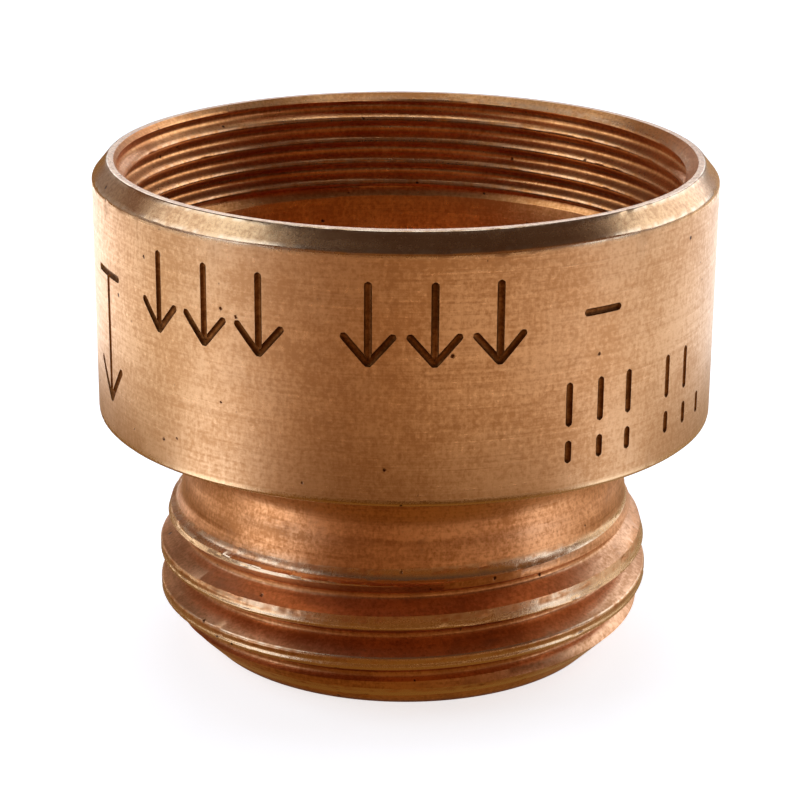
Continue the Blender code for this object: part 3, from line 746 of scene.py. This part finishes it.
def moulded(name, pale, deep, deposit, roughness, grain_size, cut, dirty):
    """A moulded part that has been in water.

    The tool's spark-eroded surface gives a fine even grain; slow flow marks shift the shade a
    little, and lime and dirt from the water lie on it in faint patches.
    """
    flow_size, patch_size = 5 * MM, 1.7 * MM
    made, tree, shader = new_material(name, 0.0, roughness)
    place = tree.nodes.new("ShaderNodeTexCoord").outputs["Object"]
    grain = add(tree, "ShaderNodeTexNoise", place, 1 / grain_size, 2.0, 0.6)
    flow = add(tree, "ShaderNodeTexNoise", place, 1 / flow_size, 3.0, 0.55, 2.0, 1.5)
    patches = add(tree, "ShaderNodeTexNoise", place, 1 / patch_size, 6.0, 0.68, 2.0, 0.4)
    shade_share = add(tree, "ShaderNodeMapRange", flow, 0.35, 0.65, 0.0, 1.0)
    colour = add(tree, "ShaderNodeMix", shade_share, linear(deep), linear(pale), data_type="RGBA")
    film = add(tree, "ShaderNodeMath", grain, 0.2, patches, operation="MULTIPLY_ADD")
    film = add(tree, "ShaderNodeMapRange", film, 0.72 - dirty, 0.86 - dirty, 0.0, 0.6)
    colour = add(tree, "ShaderNodeMix", film, colour, linear(deposit), data_type="RGBA")
    tree.links.new(colour, shader.inputs["Base Color"])
    rough = add(tree, "ShaderNodeMapRange", grain, 0.3, 0.7, roughness - 0.06, roughness + 0.08)
    rough = add(tree, "ShaderNodeMath", film, 0.25, rough, operation="MULTIPLY_ADD")
    tree.links.new(rough, shader.inputs["Roughness"])
    height = add(tree, "ShaderNodeMath", film, 0.5, grain, operation="MULTIPLY_ADD")
    bump = add(tree, "ShaderNodeBump", 1.0, cut, None, height)
    tree.links.new(bump, shader.inputs["Normal"])
    return made


# Acetal is a dense white plastic with a soft, slightly waxy shine that yellows a little in use
acetal = moulded(
    "spark_textured_white_acetal", "e6e2d6", "dcd6c6", "a88f6c", 0.4, 0.12 * MM, 0.006 * MM, 0.0
)


def turned_tree(name, values):
    """A tree for a closed turned or moulded ring, with or without openings cut round it."""
    tree, size = new_tree(name, values)
    *parts, wear_and_glint = wall_points(tree, size["Outline"], size["Columns"], 1.0, 0.0, 0.0)
    wall = place_wall(tree, *parts, size["Finish"], wear_and_glint)
    solid = add(tree, "GeometryNodeMergeByDistance", wall, True, weld)
    if "Openings" in size:
        spots = add(
            tree,
            "GeometryNodeMeshLine",
            size["Openings"],
            (0.0, 0.0, 0.0),
            (0.0, 0.0, 0.0),
            mode="OFFSET",
        )
        index = add(tree, "GeometryNodeInputIndex")
        share = add(tree, "ShaderNodeMath", index, size["Openings"], operation="DIVIDE")
        turn = add(
            tree, "ShaderNodeMath", share, math.tau, size["First opening"], operation="MULTIPLY_ADD"
        )
        turn = add(tree, "ShaderNodeCombineXYZ", 0.0, 0.0, turn)
        turn = add(tree, "FunctionNodeEulerToRotation", turn)
        shape = add(tree, "GeometryNodeObjectInfo", size["Opening"], out=4)
        spots = add(tree, "GeometryNodeInstanceOnPoints", spots, True, shape, False, 0, turn)
        spots = add(tree, "GeometryNodeRealizeInstances", spots)
        solid = add(
            tree, "GeometryNodeMeshBoolean", solid, spots, operation="DIFFERENCE", solver="MANIFOLD"
        )
    finish_tree(tree, solid, size["Finish"])
    return tree


def prism_object(name, low, high):
    """A closed prism between two matching rings of points, as a cutter for a tree."""
    shape = bmesh.new()
    low, high = ([shape.verts.new(point) for point in ring] for ring in (low, high))
    shape.faces.new(low[::-1])
    shape.faces.new(high)
    for index, corner in enumerate(low):
        shape.faces.new((low[index - 1], corner, high[index], high[index - 1]))
    bmesh.ops.recalc_face_normals(shape, faces=shape.faces)
    mesh = bpy.data.meshes.new(name)
    shape.to_mesh(mesh)
    shape.free()
    return placed(name, mesh)


def fit(piece, node, carrier):
    """Shades a finished piece, hides the CAD node that it stands for and mounts it."""
    shade(piece)
    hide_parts(node)
    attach(piece, carrier)


def turned_piece(name, outline, finish, node, carrier, opening=None, count=0, first=0.0):
    """A ring or a disc from its closed (r, z, corner, wear) outline, fitted in its place."""
    form = soften([outline[-1], *outline, outline[0]], steps=3)[1:-1]
    outline = outline_object(name + "_outline", [*form, form[0]])
    values = {"Outline": outline, "Columns": moulded_columns, "Finish": finish}
    if opening:
        values |= {"Opening": opening, "Openings": count, "First opening": first}
    made = grown(name, turned_tree(name + "_form", values), values)
    fit(made, node, carrier)


window_steps = 14
window_rows = []
for reach in guide_window:
    inset = math.asin(arm_width / 2 / reach)
    row = []
    for step in range(window_steps + 1):
        turn = inset + (math.tau / arms - 2 * inset) * step / window_steps
        row.append((reach * math.cos(turn), reach * math.sin(turn)))
    window_rows.append(row)
window = window_rows[0][::-1] + window_rows[1]
turned_piece(
    "moulded_guide",
    [
        (guide_hole_r, skirt_bottom, 0.1 * MM, 0),
        (skirt_r, skirt_bottom, 0.2 * MM, 0),
        (hub_r, guide_bottom, 0.12 * MM, 0),
        (guide_r, guide_bottom, 0.12 * MM, 0),
        (guide_r, guide_top, 0.12 * MM, 0),
        (guide_hole_r, guide_top, 0.12 * MM, 0),
    ],
    acetal,
    "guide",
    "housing",
    prism_object(
        "guide_window",
        [(x, y, guide_bottom - MM) for x, y in window],
        [(x, y, guide_top + MM) for x, y in window],
    ),
    arms,
)

# The snap ring: stamped from spring-steel strip and tumbled, so that its edges are rounded. It
# springs into the groove of the bore under the guide, with a plier hole in each lug.

snap_r = 9.895 * MM
snap_width = 1.2 * MM
lug_width = 2.2 * MM
snap_bottom = 6.9 * MM
snap_thickness = 0.8 * MM
snap_opening = math.radians(50)
snap_lug = math.radians(22)
plier_hole_r = 0.55 * MM
stamped_edge = 0.08 * MM
snap_steps = 120
hole_sides = 24


def bright_steel(name, pale, deep, stain, roughness, scratch, cut):
    """Stainless spring steel.

    Fine scratches from the die or the tumbler cross it at all angles over a soft mottle, and
    a thin brown tea stain has started in a few spots.
    """
    mottle_size, spot_size = 0.7 * MM, 1.3 * MM
    made, tree, shader = new_material(name, 1.0, roughness)
    place = tree.nodes.new("ShaderNodeTexCoord").outputs["Object"]
    mottle = add(tree, "ShaderNodeTexNoise", place, 1 / mottle_size, 4.0, 0.6)
    lines = []
    for stretch in ((0.2, 1.0, 1.0), (1.0, 0.25, 1.0), (0.7, 0.7, 0.3)):
        scale = tuple(part / scratch for part in stretch)
        drawn = add(tree, "ShaderNodeVectorMath", place, scale, operation="MULTIPLY")
        lines.append(add(tree, "ShaderNodeTexNoise", drawn, 1.0, 3.0, 0.65))
    texture = add(tree, "ShaderNodeMath", lines[0], lines[1], operation="ADD")
    texture = add(tree, "ShaderNodeMath", texture, lines[2], operation="ADD")
    texture = add(tree, "ShaderNodeMath", texture, 1 / 3, operation="MULTIPLY")
    toned = add(tree, "ShaderNodeMath", mottle, 0.8, texture, operation="MULTIPLY_ADD")
    toned = add(tree, "ShaderNodeMapRange", toned, 0.75, 1.05, 0.0, 1.0)
    colour = add(tree, "ShaderNodeMix", toned, linear(deep), linear(pale), data_type="RGBA")
    spots = add(tree, "ShaderNodeTexNoise", place, 1 / spot_size, 6.0, 0.7, 2.0, 0.8)
    spots = add(tree, "ShaderNodeMapRange", spots, 0.6, 0.74, 0.0, 0.7)
    colour = add(tree, "ShaderNodeMix", spots, colour, linear(stain), data_type="RGBA")
    tree.links.new(colour, shader.inputs["Base Color"])
    rough = add(tree, "ShaderNodeMapRange", texture, 0.4, 0.6, roughness + 0.07, roughness - 0.05)
    rough = add(tree, "ShaderNodeMath", spots, 0.25, rough, operation="MULTIPLY_ADD")
    tree.links.new(rough, shader.inputs["Roughness"])
    bump = add(tree, "ShaderNodeBump", 1.0, cut, None, texture)
    tree.links.new(bump, shader.inputs["Normal"])
    return made


stamped_steel = bright_steel(
    "tumbled_spring_steel_strip", "b4b2ac", "8f8d88", "6d4a2c", 0.34, 0.09 * MM, 0.004 * MM
)
half_open = snap_opening / 2
rows = ([], [])
for step in range(snap_steps + 1):
    turn = half_open + (math.tau - snap_opening) * step / snap_steps
    from_gap = min(turn, math.tau - turn)
    share = min(max((half_open + snap_lug - from_gap) / snap_lug * 2, 0.0), 1.0)
    share = share * share * (3 - 2 * share)
    inner = snap_r - snap_width - (lug_width - snap_width) * share
    for row, reach in zip(rows, (snap_r, inner)):
        row.append((reach * math.cos(turn), reach * math.sin(turn)))
outlines = [rows[0] + rows[1][::-1]]
hole_reach = snap_r - lug_width / 2
for side in (1, -1):
    turn = side * (half_open + 2 * plier_hole_r / hole_reach)
    hole = []
    for step in range(hole_sides):
        around = math.tau * step / hole_sides
        hole.append(
            (
                hole_reach * math.cos(turn) + plier_hole_r * math.cos(around),
                hole_reach * math.sin(turn) + plier_hole_r * math.sin(around),
            )
        )
    outlines.append(hole)
strip = bpy.data.curves.new("snap_ring_outline", "CURVE")
strip.dimensions = "2D"
strip.fill_mode = "BOTH"
strip.extrude = snap_thickness / 2 - stamped_edge
strip.bevel_depth = stamped_edge
strip.bevel_resolution = 2
strip.offset = -stamped_edge
for outline in outlines:
    path = strip.splines.new("POLY")
    path.points.add(len(outline) - 1)
    path.use_cyclic_u = True
    for point, (x, y) in zip(path.points, outline):
        point.co = (x, y, 0.0, 1.0)
drawn = placed("snap_ring_outline", strip)
graph = bpy.context.evaluated_depsgraph_get()
mesh = bpy.data.meshes.new_from_object(drawn.evaluated_get(graph))
mesh.transform(Matrix.Translation((0.0, 0.0, snap_bottom + snap_thickness / 2)))
bpy.data.objects.remove(drawn)
shape = bmesh.new()
shape.from_mesh(mesh)
bmesh.ops.remove_doubles(shape, verts=shape.verts, dist=0.0005 * MM)
shape.to_mesh(mesh)
shape.free()
mesh.materials.clear()
mesh.materials.append(stamped_steel)
snap = placed("stamped_snap_ring", mesh)
fit(snap, "snap_ring", "housing")

# The spring: four turns of stainless wire wound on a mandrel, its end turns closed up. It
# stands on the guide's arms and lifts the poppet; at the stop it has closed by 2.2 mm.

wire_r = 0.225 * MM
coil_r = 3.275 * MM
coil_low = 9.525 * MM
coil_high = 14.425 * MM
coil_turns = 4.0
dead_turn = 0.75
dead_rise = 0.439 * MM
coil_points = 260
wire_sides = 14

drawn_wire = bright_steel(
    "drawn_stainless_spring_wire", "c4c2bc", "9d9b95", "7a5836", 0.24, 0.06 * MM, 0.003 * MM
)
spring_sizes = {
    "Wire radius": wire_r,
    "Coil radius": coil_r,
    "Low": coil_low,
    "High": coil_high,
    "Coils": coil_turns,
    "Dead turn": dead_turn,
    "Dead rise": dead_rise,
    "Points": coil_points,
    "Wire sides": wire_sides,
}
tree, size = new_tree("closed_end_spring", spring_sizes)
line = add(
    tree, "GeometryNodeMeshLine", size["Points"], (0.0, 0.0, 0.0), (0.0, 0.0, weld), mode="OFFSET"
)
last = add(tree, "ShaderNodeMath", size["Points"], 1.0, operation="SUBTRACT")
index = add(tree, "GeometryNodeInputIndex")
share = add(tree, "ShaderNodeMath", index, last, operation="DIVIDE")
wound = add(tree, "ShaderNodeMath", share, size["Coils"], operation="MULTIPLY")
live_end = add(tree, "ShaderNodeMath", size["Coils"], size["Dead turn"], operation="SUBTRACT")
reach = add(tree, "ShaderNodeMath", size["High"], size["Low"], operation="SUBTRACT")
live_rise = add(tree, "ShaderNodeMath", size["Dead rise"], -2.0, reach, operation="MULTIPLY_ADD")
level = size["Low"]
for start, end, climb in (
    (0.0, size["Dead turn"], size["Dead rise"]),
    (size["Dead turn"], live_end, live_rise),
    (live_end, size["Coils"], size["Dead rise"]),
):
    climbed = add(tree, "ShaderNodeMapRange", wound, start, end, 0.0, climb)
    level = add(tree, "ShaderNodeMath", level, climbed, operation="ADD")
turn = add(tree, "ShaderNodeMath", wound, math.tau, operation="MULTIPLY")
cosine = add(tree, "ShaderNodeMath", turn, operation="COSINE")
sine = add(tree, "ShaderNodeMath", turn, operation="SINE")
x = add(tree, "ShaderNodeMath", cosine, size["Coil radius"], operation="MULTIPLY")
y = add(tree, "ShaderNodeMath", sine, size["Coil radius"], operation="MULTIPLY")
place = add(tree, "ShaderNodeCombineXYZ", x, y, level)
line = add(tree, "GeometryNodeSetPosition", line, True, place)
wire = add(tree, "GeometryNodeMeshToCurve", line)
round_wire = add(tree, "GeometryNodeCurvePrimitiveCircle", size["Wire sides"], size["Wire radius"])
wire = add(tree, "GeometryNodeCurveToMesh", wire, round_wire, None, True)
wire = add(tree, "GeometryNodeSetShadeSmooth", wire)
finish_tree(tree, wire, drawn_wire)
spring = grown("wound_spring", tree, spring_sizes)
fit(spring, "spring", "housing")
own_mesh(spring)

# The poppet: moulded in acetal, a disc that seals under the diaphragm, with a short cone up
# through its hole, a shoulder that stops the stroke and a stem down through the guide.

stem_r = 1.3 * MM
stem_bottom = 6.5 * MM
shoulder_r = 2.0 * MM
shoulder_bottom = 11.5 * MM
disc_under_r = 6.095 * MM
disc_r = 6.895 * MM
disc_bottom = 14.85 * MM
disc_top = 16.05 * MM
disc_bevel = 0.3 * MM
cone_foot_r = 4.895 * MM
cone_top_r = 4.445 * MM
cone_top = 16.95 * MM
dimple_r = 1.1 * MM
dimple_depth = 0.2 * MM
turned_piece(
    "moulded_poppet",
    [
        (0.0, stem_bottom, 0, 0),
        (stem_r, stem_bottom, 0.3 * MM, 0),
        (stem_r, shoulder_bottom, 0.1 * MM, 0),
        (shoulder_r, shoulder_bottom, 0.15 * MM, 0),
        (shoulder_r, disc_bottom, 0.3 * MM, 0),
        (disc_under_r, disc_bottom, 0.1 * MM, 0),
        (disc_r, disc_bottom + disc_bevel, 0.15 * MM, 0),
        (disc_r, disc_top - disc_bevel, 0.15 * MM, 0),
        (disc_r - disc_bevel, disc_top, 0.15 * MM, 0),
        (cone_foot_r, disc_top, 0.15 * MM, 0),
        (cone_top_r, cone_top, 0.25 * MM, 0),
        (dimple_r, cone_top, 0.1 * MM, 0),
        (dimple_r - dimple_depth, cone_top - dimple_depth, 0.1 * MM, 0),
        (0.0, cone_top - dimple_depth, 0, 0),
    ],
    acetal,
    "poppet",
    "poppet",
)

# The vent ring: moulded in acetal. It stands on the socket's floor and carries the diaphragm on
# its shelf; ten ports under it lead up flutes in its outside to the air.

ring_shelf_r = 10.8 * MM
ring_r = 14.5 * MM
ring_bore_r = 12.6 * MM
ring_bottom = 14.4 * MM
ring_top = 16.9 * MM
shelf_top = 15.7 * MM
port_width = 2.2 * MM
port_top = 15.1 * MM
flute_r = 13.8 * MM
ports = 10
channel = [
    (ring_shelf_r - MM, ring_bottom - MM),
    (ring_r + MM, ring_bottom - MM),
    (ring_r + MM, ring_top + MM),
    (flute_r, ring_top + MM),
    (flute_r, port_top),
    (ring_shelf_r - MM, port_top),
]
turned_piece(
    "moulded_vent_ring",
    [
        (ring_shelf_r, ring_bottom, 0.1 * MM, 0),
        (ring_r, ring_bottom, 0.12 * MM, 0),
        (ring_r, ring_top, 0.12 * MM, 0),
        (ring_bore_r, ring_top, 0.12 * MM, 0),
        (ring_bore_r, shelf_top, 0.1 * MM, 0),
        (ring_shelf_r, shelf_top, 0.12 * MM, 0),
    ],
    acetal,
    "vent_ring",
    "housing",
    prism_object(
        "vent_channel",
        [(r, -port_width / 2, z) for r, z in channel],
        [(r, port_width / 2, z) for r, z in channel],
    ),
    ports,
    math.pi / ports,
)

# The diaphragm and the inlet gasket: moulded in black nitrile rubber. The diaphragm's bead sits
# on the ring's shelf; the gasket lies loose above it and takes the end of the tap.

web_hole_r = 5.195 * MM
web_flat_r = 6.895 * MM
web_bottom = 16.25 * MM
web_top = 16.95 * MM
web_edge_top = 16.6 * MM
bead_inner_r = 11.1 * MM
bead_r = 12.3 * MM
bead_bottom = 15.9 * MM
bead_top = 16.9 * MM
bead_bevel = 0.15 * MM
gasket_bore_r = 9.9 * MM
gasket_r = 13.5 * MM
gasket_bottom = 17.1 * MM
gasket_top = 18.1 * MM

# Nitrile rubber is a matt black with a faint grey bloom where it has dried
rubber = moulded(
    "moulded_black_nitrile_rubber", "272624", "1a1918", "4a4742", 0.6, 0.15 * MM, 0.008 * MM, 0.04
)
turned_piece(
    "rubber_diaphragm",
    [
        (web_hole_r, web_bottom, 0.15 * MM, 0),
        (web_flat_r, web_bottom, 0.3 * MM, 0),
        (bead_inner_r, bead_bottom, 0.3 * MM, 0),
        (bead_r - bead_bevel, bead_bottom, 0.1 * MM, 0),
        (bead_r, bead_bottom + bead_bevel, 0.1 * MM, 0),
        (bead_r, bead_top - bead_bevel, 0.1 * MM, 0),
        (bead_r - bead_bevel, bead_top, 0.1 * MM, 0),
        (bead_inner_r, bead_top, 0.15 * MM, 0),
        (bead_inner_r, web_edge_top, 0.2 * MM, 0),
        (web_flat_r, web_top, 0.4 * MM, 0),
        (web_hole_r, web_top, 0.15 * MM, 0),
    ],
    rubber,
    "diaphragm",
    "housing",
)
turned_piece(
    "rubber_inlet_gasket",
    [
        (gasket_bore_r, gasket_bottom, 0.12 * MM, 0),
        (gasket_r, gasket_bottom, 0.12 * MM, 0),
        (gasket_r, gasket_top, 0.12 * MM, 0),
        (gasket_bore_r, gasket_top, 0.12 * MM, 0),
    ],
    rubber,
    "inlet_gasket",
    "housing",
)

# The studio: white paper that curves up far behind, cool soft boxes and strips, and a glowing card
# laid round the body that only its metal reflects, its glow set for each direction to paint the
# metal's reflections: a painted shadow next to the body and painted highlights to the sides. The
# camera stands where the photograph was taken from. None of this is part of the object.

sweep_profile = ((0.3, 0.0), (0.9, 0.0), (1.1, 0.05), (1.2, 0.2), (1.2, 0.5))
paper_drop = 0.02 * MM
sweep_sides = 64
floor_glow = 0.74
metal_glow = 0.3

shape = bmesh.new()
centre = shape.verts.new((0.0, 0.0, -paper_drop))
rings = [[centre] * sweep_sides]
for reach, height in sweep_profile:
    ring = []
    for step in range(sweep_sides):
        turn = math.tau * step / sweep_sides
        place = (reach * math.cos(turn), reach * math.sin(turn), height - paper_drop)
        ring.append(shape.verts.new(place))
    rings.append(ring)
for low, high in zip(rings, rings[1:]):
    for step in range(sweep_sides):
        corners = [low[step - 1], low[step], high[step], high[step - 1]]
        shape.faces.new(list(dict.fromkeys(corners))[::-1])
sweep_mesh = bpy.data.meshes.new("paper_sweep")
shape.to_mesh(sweep_mesh)
shape.free()
sweep_mesh.shade_smooth()
sweep = placed("paper_sweep", sweep_mesh)

# White paper. To the camera it glows as well, so that it is white under modest lamps, and the
# metal sees a share of that glow
paper, tree, shader = new_material("white_paper", 0.0, 0.9)
shader.inputs["Base Color"].default_value = linear("ececec")
shader.inputs["Specular IOR Level"].default_value = 0.0
ray = tree.nodes.new("ShaderNodeLightPath").outputs
seen = add(
    tree, "ShaderNodeMath", ray["Is Camera Ray"], ray["Is Transmission Ray"], operation="MAXIMUM"
)
shiny = ray["Is Glossy Ray"]
seen = add(tree, "ShaderNodeMath", shiny, metal_glow, seen, operation="MULTIPLY_ADD")
glow = add(tree, "ShaderNodeMath", seen, floor_glow, operation="MULTIPLY")
shining = add(tree, "ShaderNodeEmission", linear("ffffff"), glow)
both = add(tree, "ShaderNodeAddShader", shader.outputs[0], shining)

# In front, behind the camera, only the camera and the floor's light see the paper: the metal
# sees the dim room through it
place = tree.nodes.new("ShaderNodeSeparateXYZ")
tree.links.new(tree.nodes.new("ShaderNodeTexCoord").outputs["Object"], place.inputs[0])
ahead = add(tree, "ShaderNodeMapRange", place.outputs[1], -0.1, 0.3, 1.0, 0.0)
ahead = add(tree, "ShaderNodeMath", ahead, shiny, operation="MULTIPLY")
clear = tree.nodes.new("ShaderNodeBsdfTransparent").outputs[0]
paper_mix = add(tree, "ShaderNodeMixShader", ahead, both, clear)
tree.links.new(paper_mix, tree.nodes["Material Output"].inputs[0])
sweep_mesh.materials.append(paper)

# Glowing card on the paper, seen only in reflections: dark brown next to the body as a painted
# shadow of the body, then a glow for each direction that paints the metal's reflections, its bright
# stops painted highlights. A low card stands round its back half.
card_inner, card_outer, card_level = 11.25 * MM, 0.12, 0.1 * MM
wall_foot, wall_rise = 0.2 * MM, 0.03
wall_start, wall_sweep = -5, 190
card_sides, wall_sides = 96, 48
middle_fade, far_fade = (27 * MM, 36 * MM), (50 * MM, 62 * MM)
patches = []
for step in range(card_sides):
    turns = [math.tau * edge / card_sides for edge in (step, step, step + 1, step + 1)]
    reaches = (card_inner, card_outer, card_outer, card_inner)
    patches.append([(turn, reach, card_level) for turn, reach in zip(turns, reaches)])
for step in range(wall_sides):
    edges = (step, step + 1, step + 1, step)
    turns = [math.radians(wall_start + wall_sweep * edge / wall_sides) for edge in edges]
    levels = (wall_foot, wall_foot, wall_rise, wall_rise)
    patches.append([(turn, card_outer, level) for turn, level in zip(turns, levels)])
shape = bmesh.new()
for patch in patches:
    points = [(reach * math.cos(turn), reach * math.sin(turn), z) for turn, reach, z in patch]
    shape.faces.new([shape.verts.new(point) for point in points])
bmesh.ops.remove_doubles(shape, verts=shape.verts, dist=weld)
card_mesh = bpy.data.meshes.new("card_ring")
shape.to_mesh(card_mesh)
shape.free()
card = placed("card_ring", card_mesh)
painted_reflection_card = bpy.data.materials.new("glowing_card_painted_reflections")
painted_reflection_card.use_nodes = True
tree = painted_reflection_card.node_tree
tree.nodes.clear()
place = tree.nodes.new("ShaderNodeTexCoord").outputs["Object"]
around = add(tree, "ShaderNodeTexGradient", place, out=1, gradient_type="RADIAL")
# Painted reflections: the far ring paints the collar's light and dark bands, the middle ring's
# bright stops near -63 and 68 degrees paint the neck's highlight patches, and the dark near ring is
# a painted shadow of the body on the floor
far_shades = (
    (-90, (1.5, 1.34, 1.1)),
    (-67, (1.55, 1.38, 1.16)),
    (-42, (0.98, 0.68, 0.44)),
    (-18, (0.6, 0.34, 0.17)),
    (0, (0.8, 0.48, 0.25)),
    (20, (1.15, 0.8, 0.5)),
    (58, (1.35, 1.05, 0.78)),
    (90, (1.3, 1.15, 0.98)),
    (125, (1.5, 1.45, 1.4)),
    (160, (1.9, 1.9, 1.9)),
    (217, (2.3, 2.2, 2.1)),
    (269.9, (1.5, 1.34, 1.1)),
)
middle_shades = (
    (-90, (0.3, 0.17, 0.06)),
    (-80, (0.4, 0.25, 0.12)),
    (-70, (2.2, 2.15, 2.1)),
    (-56, (2.2, 2.15, 2.1)),
    (-42, (0.4, 0.22, 0.1)),
    (-28, (0.13, 0.05, 0.003)),
    (0, (0.09, 0.03, 0.0)),
    (34, (0.14, 0.06, 0.01)),
    (50, (0.4, 0.24, 0.12)),
    (62, (1.6, 1.6, 1.6)),
    (74, (1.4, 1.35, 1.3)),
    (90, (0.5, 0.36, 0.22)),
    (111, (0.42, 0.28, 0.14)),
    (150, (0.5, 0.35, 0.2)),
    (220, (0.26, 0.13, 0.04)),
    (269.9, (0.3, 0.17, 0.06)),
)
near_shades = (
    (-90, (0.26, 0.14, 0.05)),
    (-60, (0.3, 0.16, 0.06)),
    (-30, (0.2, 0.09, 0.02)),
    (0, (0.22, 0.1, 0.02)),
    (35, (0.24, 0.12, 0.03)),
    (70, (0.42, 0.28, 0.15)),
    (110, (0.4, 0.28, 0.14)),
    (160, (0.4, 0.28, 0.15)),
    (269.9, (0.26, 0.14, 0.05)),
)
wall_shades = (
    (-90, (0.18, 0.09, 0.02)),
    (85, (0.5, 0.36, 0.2)),
    (120, (0.75, 0.6, 0.42)),
    (160, (0.4, 0.25, 0.12)),
    (200, (0.25, 0.13, 0.04)),
    (269.9, (0.25, 0.13, 0.04)),
)
rings = []
for shades in (near_shades, middle_shades, far_shades, wall_shades):
    ramp = tree.nodes.new("ShaderNodeValToRGB")
    tree.links.new(around, ramp.inputs[0])
    while len(ramp.color_ramp.elements) < len(shades):
        ramp.color_ramp.elements.new(0.5)
    for stop, (azimuth, _) in zip(ramp.color_ramp.elements, shades):
        stop.position = (azimuth + 90) / 360
    for stop, (_, colour) in zip(ramp.color_ramp.elements, shades):
        stop.color = (*colour, 1.0)
    rings.append(ramp.outputs[0])
away = add(tree, "ShaderNodeVectorMath", place, operation="LENGTH")
tint = rings[0]
for (start, end), ring in ((middle_fade, rings[1]), (far_fade, rings[2])):
    share = add(
        tree, "ShaderNodeMapRange", away, start, end, 0.0, 1.0, interpolation_type="SMOOTHSTEP"
    )
    tint = add(tree, "ShaderNodeMix", share, tint, ring, data_type="RGBA")
split = tree.nodes.new("ShaderNodeSeparateXYZ")
tree.links.new(place, split.inputs[0])
standing = add(tree, "ShaderNodeMapRange", split.outputs[2], wall_foot, 2 * wall_foot, 0.0, 1.0)
tint = add(tree, "ShaderNodeMix", standing, tint, rings[3], data_type="RGBA")
outside = add(tree, "ShaderNodeMapRange", away, 80 * MM, 110 * MM, 1.0, 1.3)
shining = add(tree, "ShaderNodeEmission", tint, outside)
# The standing card thins out towards its two ends, so no edge of it shows in the metal
thin = add(tree, "ShaderNodeMapRange", split.outputs[1], -10 * MM, 55 * MM, 1.0, 0.0)
thin = add(tree, "ShaderNodeMath", standing, thin, operation="MULTIPLY")
clear = tree.nodes.new("ShaderNodeBsdfTransparent").outputs[0]
shown = add(tree, "ShaderNodeMixShader", thin, shining, clear)
end = tree.nodes.new("ShaderNodeOutputMaterial")
tree.links.new(shown, end.inputs[0])
card_mesh.materials.append(painted_reflection_card)
card.visible_camera = False
card.visible_diffuse = False
card.visible_shadow = False
card.visible_transmission = False

# The dim room behind the lamps: dark brown low down, warmer above it and dark overhead
world = bpy.data.worlds.new("dim_room")
bpy.context.scene.world = world
world.use_nodes = True
tree = world.node_tree
facing = tree.nodes.new("ShaderNodeSeparateXYZ")
tree.links.new(tree.nodes.new("ShaderNodeTexCoord").outputs["Generated"], facing.inputs[0])
rise = add(tree, "ShaderNodeMapRange", facing.outputs[2], 0.02, 0.25, 0.0, 1.0)
room = add(
    tree, "ShaderNodeMix", rise, (0.1, 0.035, 0.004, 1.0), (0.24, 0.1, 0.02, 1.0), data_type="RGBA"
)
rise = add(tree, "ShaderNodeMapRange", facing.outputs[2], 0.25, 0.75, 0.0, 1.0)
room = add(tree, "ShaderNodeMix", rise, room, (0.07, 0.045, 0.035, 1.0), data_type="RGBA")
tree.links.new(room, tree.nodes["Background"].inputs[0])

# Each lamp: degrees from the front and up, distance, width, height and radiance
lamp_aim = 13 * MM
cool_daylight = (0.78, 0.96, 1.2)
for name, azimuth, elevation, away, width, tall, radiance in (
    ("left_soft_box", -88, 40, 0.5, 0.40, 0.26, 1.9),
    ("right_soft_box", 122, 26, 0.5, 0.48, 0.28, 1.95),
    ("left_strip", -64, 3, 0.5, 0.24, 0.15, 1.6),
    ("right_strip", 72, 3, 0.5, 0.17, 0.15, 1.6),
    ("back_strip", 180, 22, 0.7, 0.42, 0.2, 1.8),
    ("top_soft_box", 180, 78, 0.5, 0.36, 0.3, 2.1),
):
    data = bpy.data.lights.new(name, "AREA")
    data.shape = "RECTANGLE"
    data.size, data.size_y = width, tall
    data.color = cool_daylight
    data.energy = radiance * math.pi * width * tall
    light = placed(name, data)
    turn = math.radians(azimuth - 90)
    rise = math.radians(elevation)
    light.location = (
        away * math.cos(rise) * math.cos(turn),
        away * math.cos(rise) * math.sin(turn),
        lamp_aim + away * math.sin(rise),
    )
    light.rotation_euler = (math.pi / 2 - rise, 0.0, turn + math.pi / 2)

camera_data = bpy.data.cameras.new("camera")
camera_data.sensor_width = 36
camera_data.lens = 109.8
camera_data.clip_start = 0.01
camera = placed("camera", camera_data)
aim = 12.9 * MM
away = 134.1 * MM
rise = math.radians(19.1)
roll = math.radians(0.46)
camera.matrix_world = (
    Matrix.Translation((0.0, -away * math.cos(rise), aim + away * math.sin(rise)))
    @ Matrix.Rotation(math.pi / 2 - rise, 4, "X")
    @ Matrix.Rotation(roll, 4, "Z")
)
camera_data.shift_x = -4 / 800
bpy.context.scene.camera = camera
bpy.context.scene.view_settings.view_transform = "Standard"
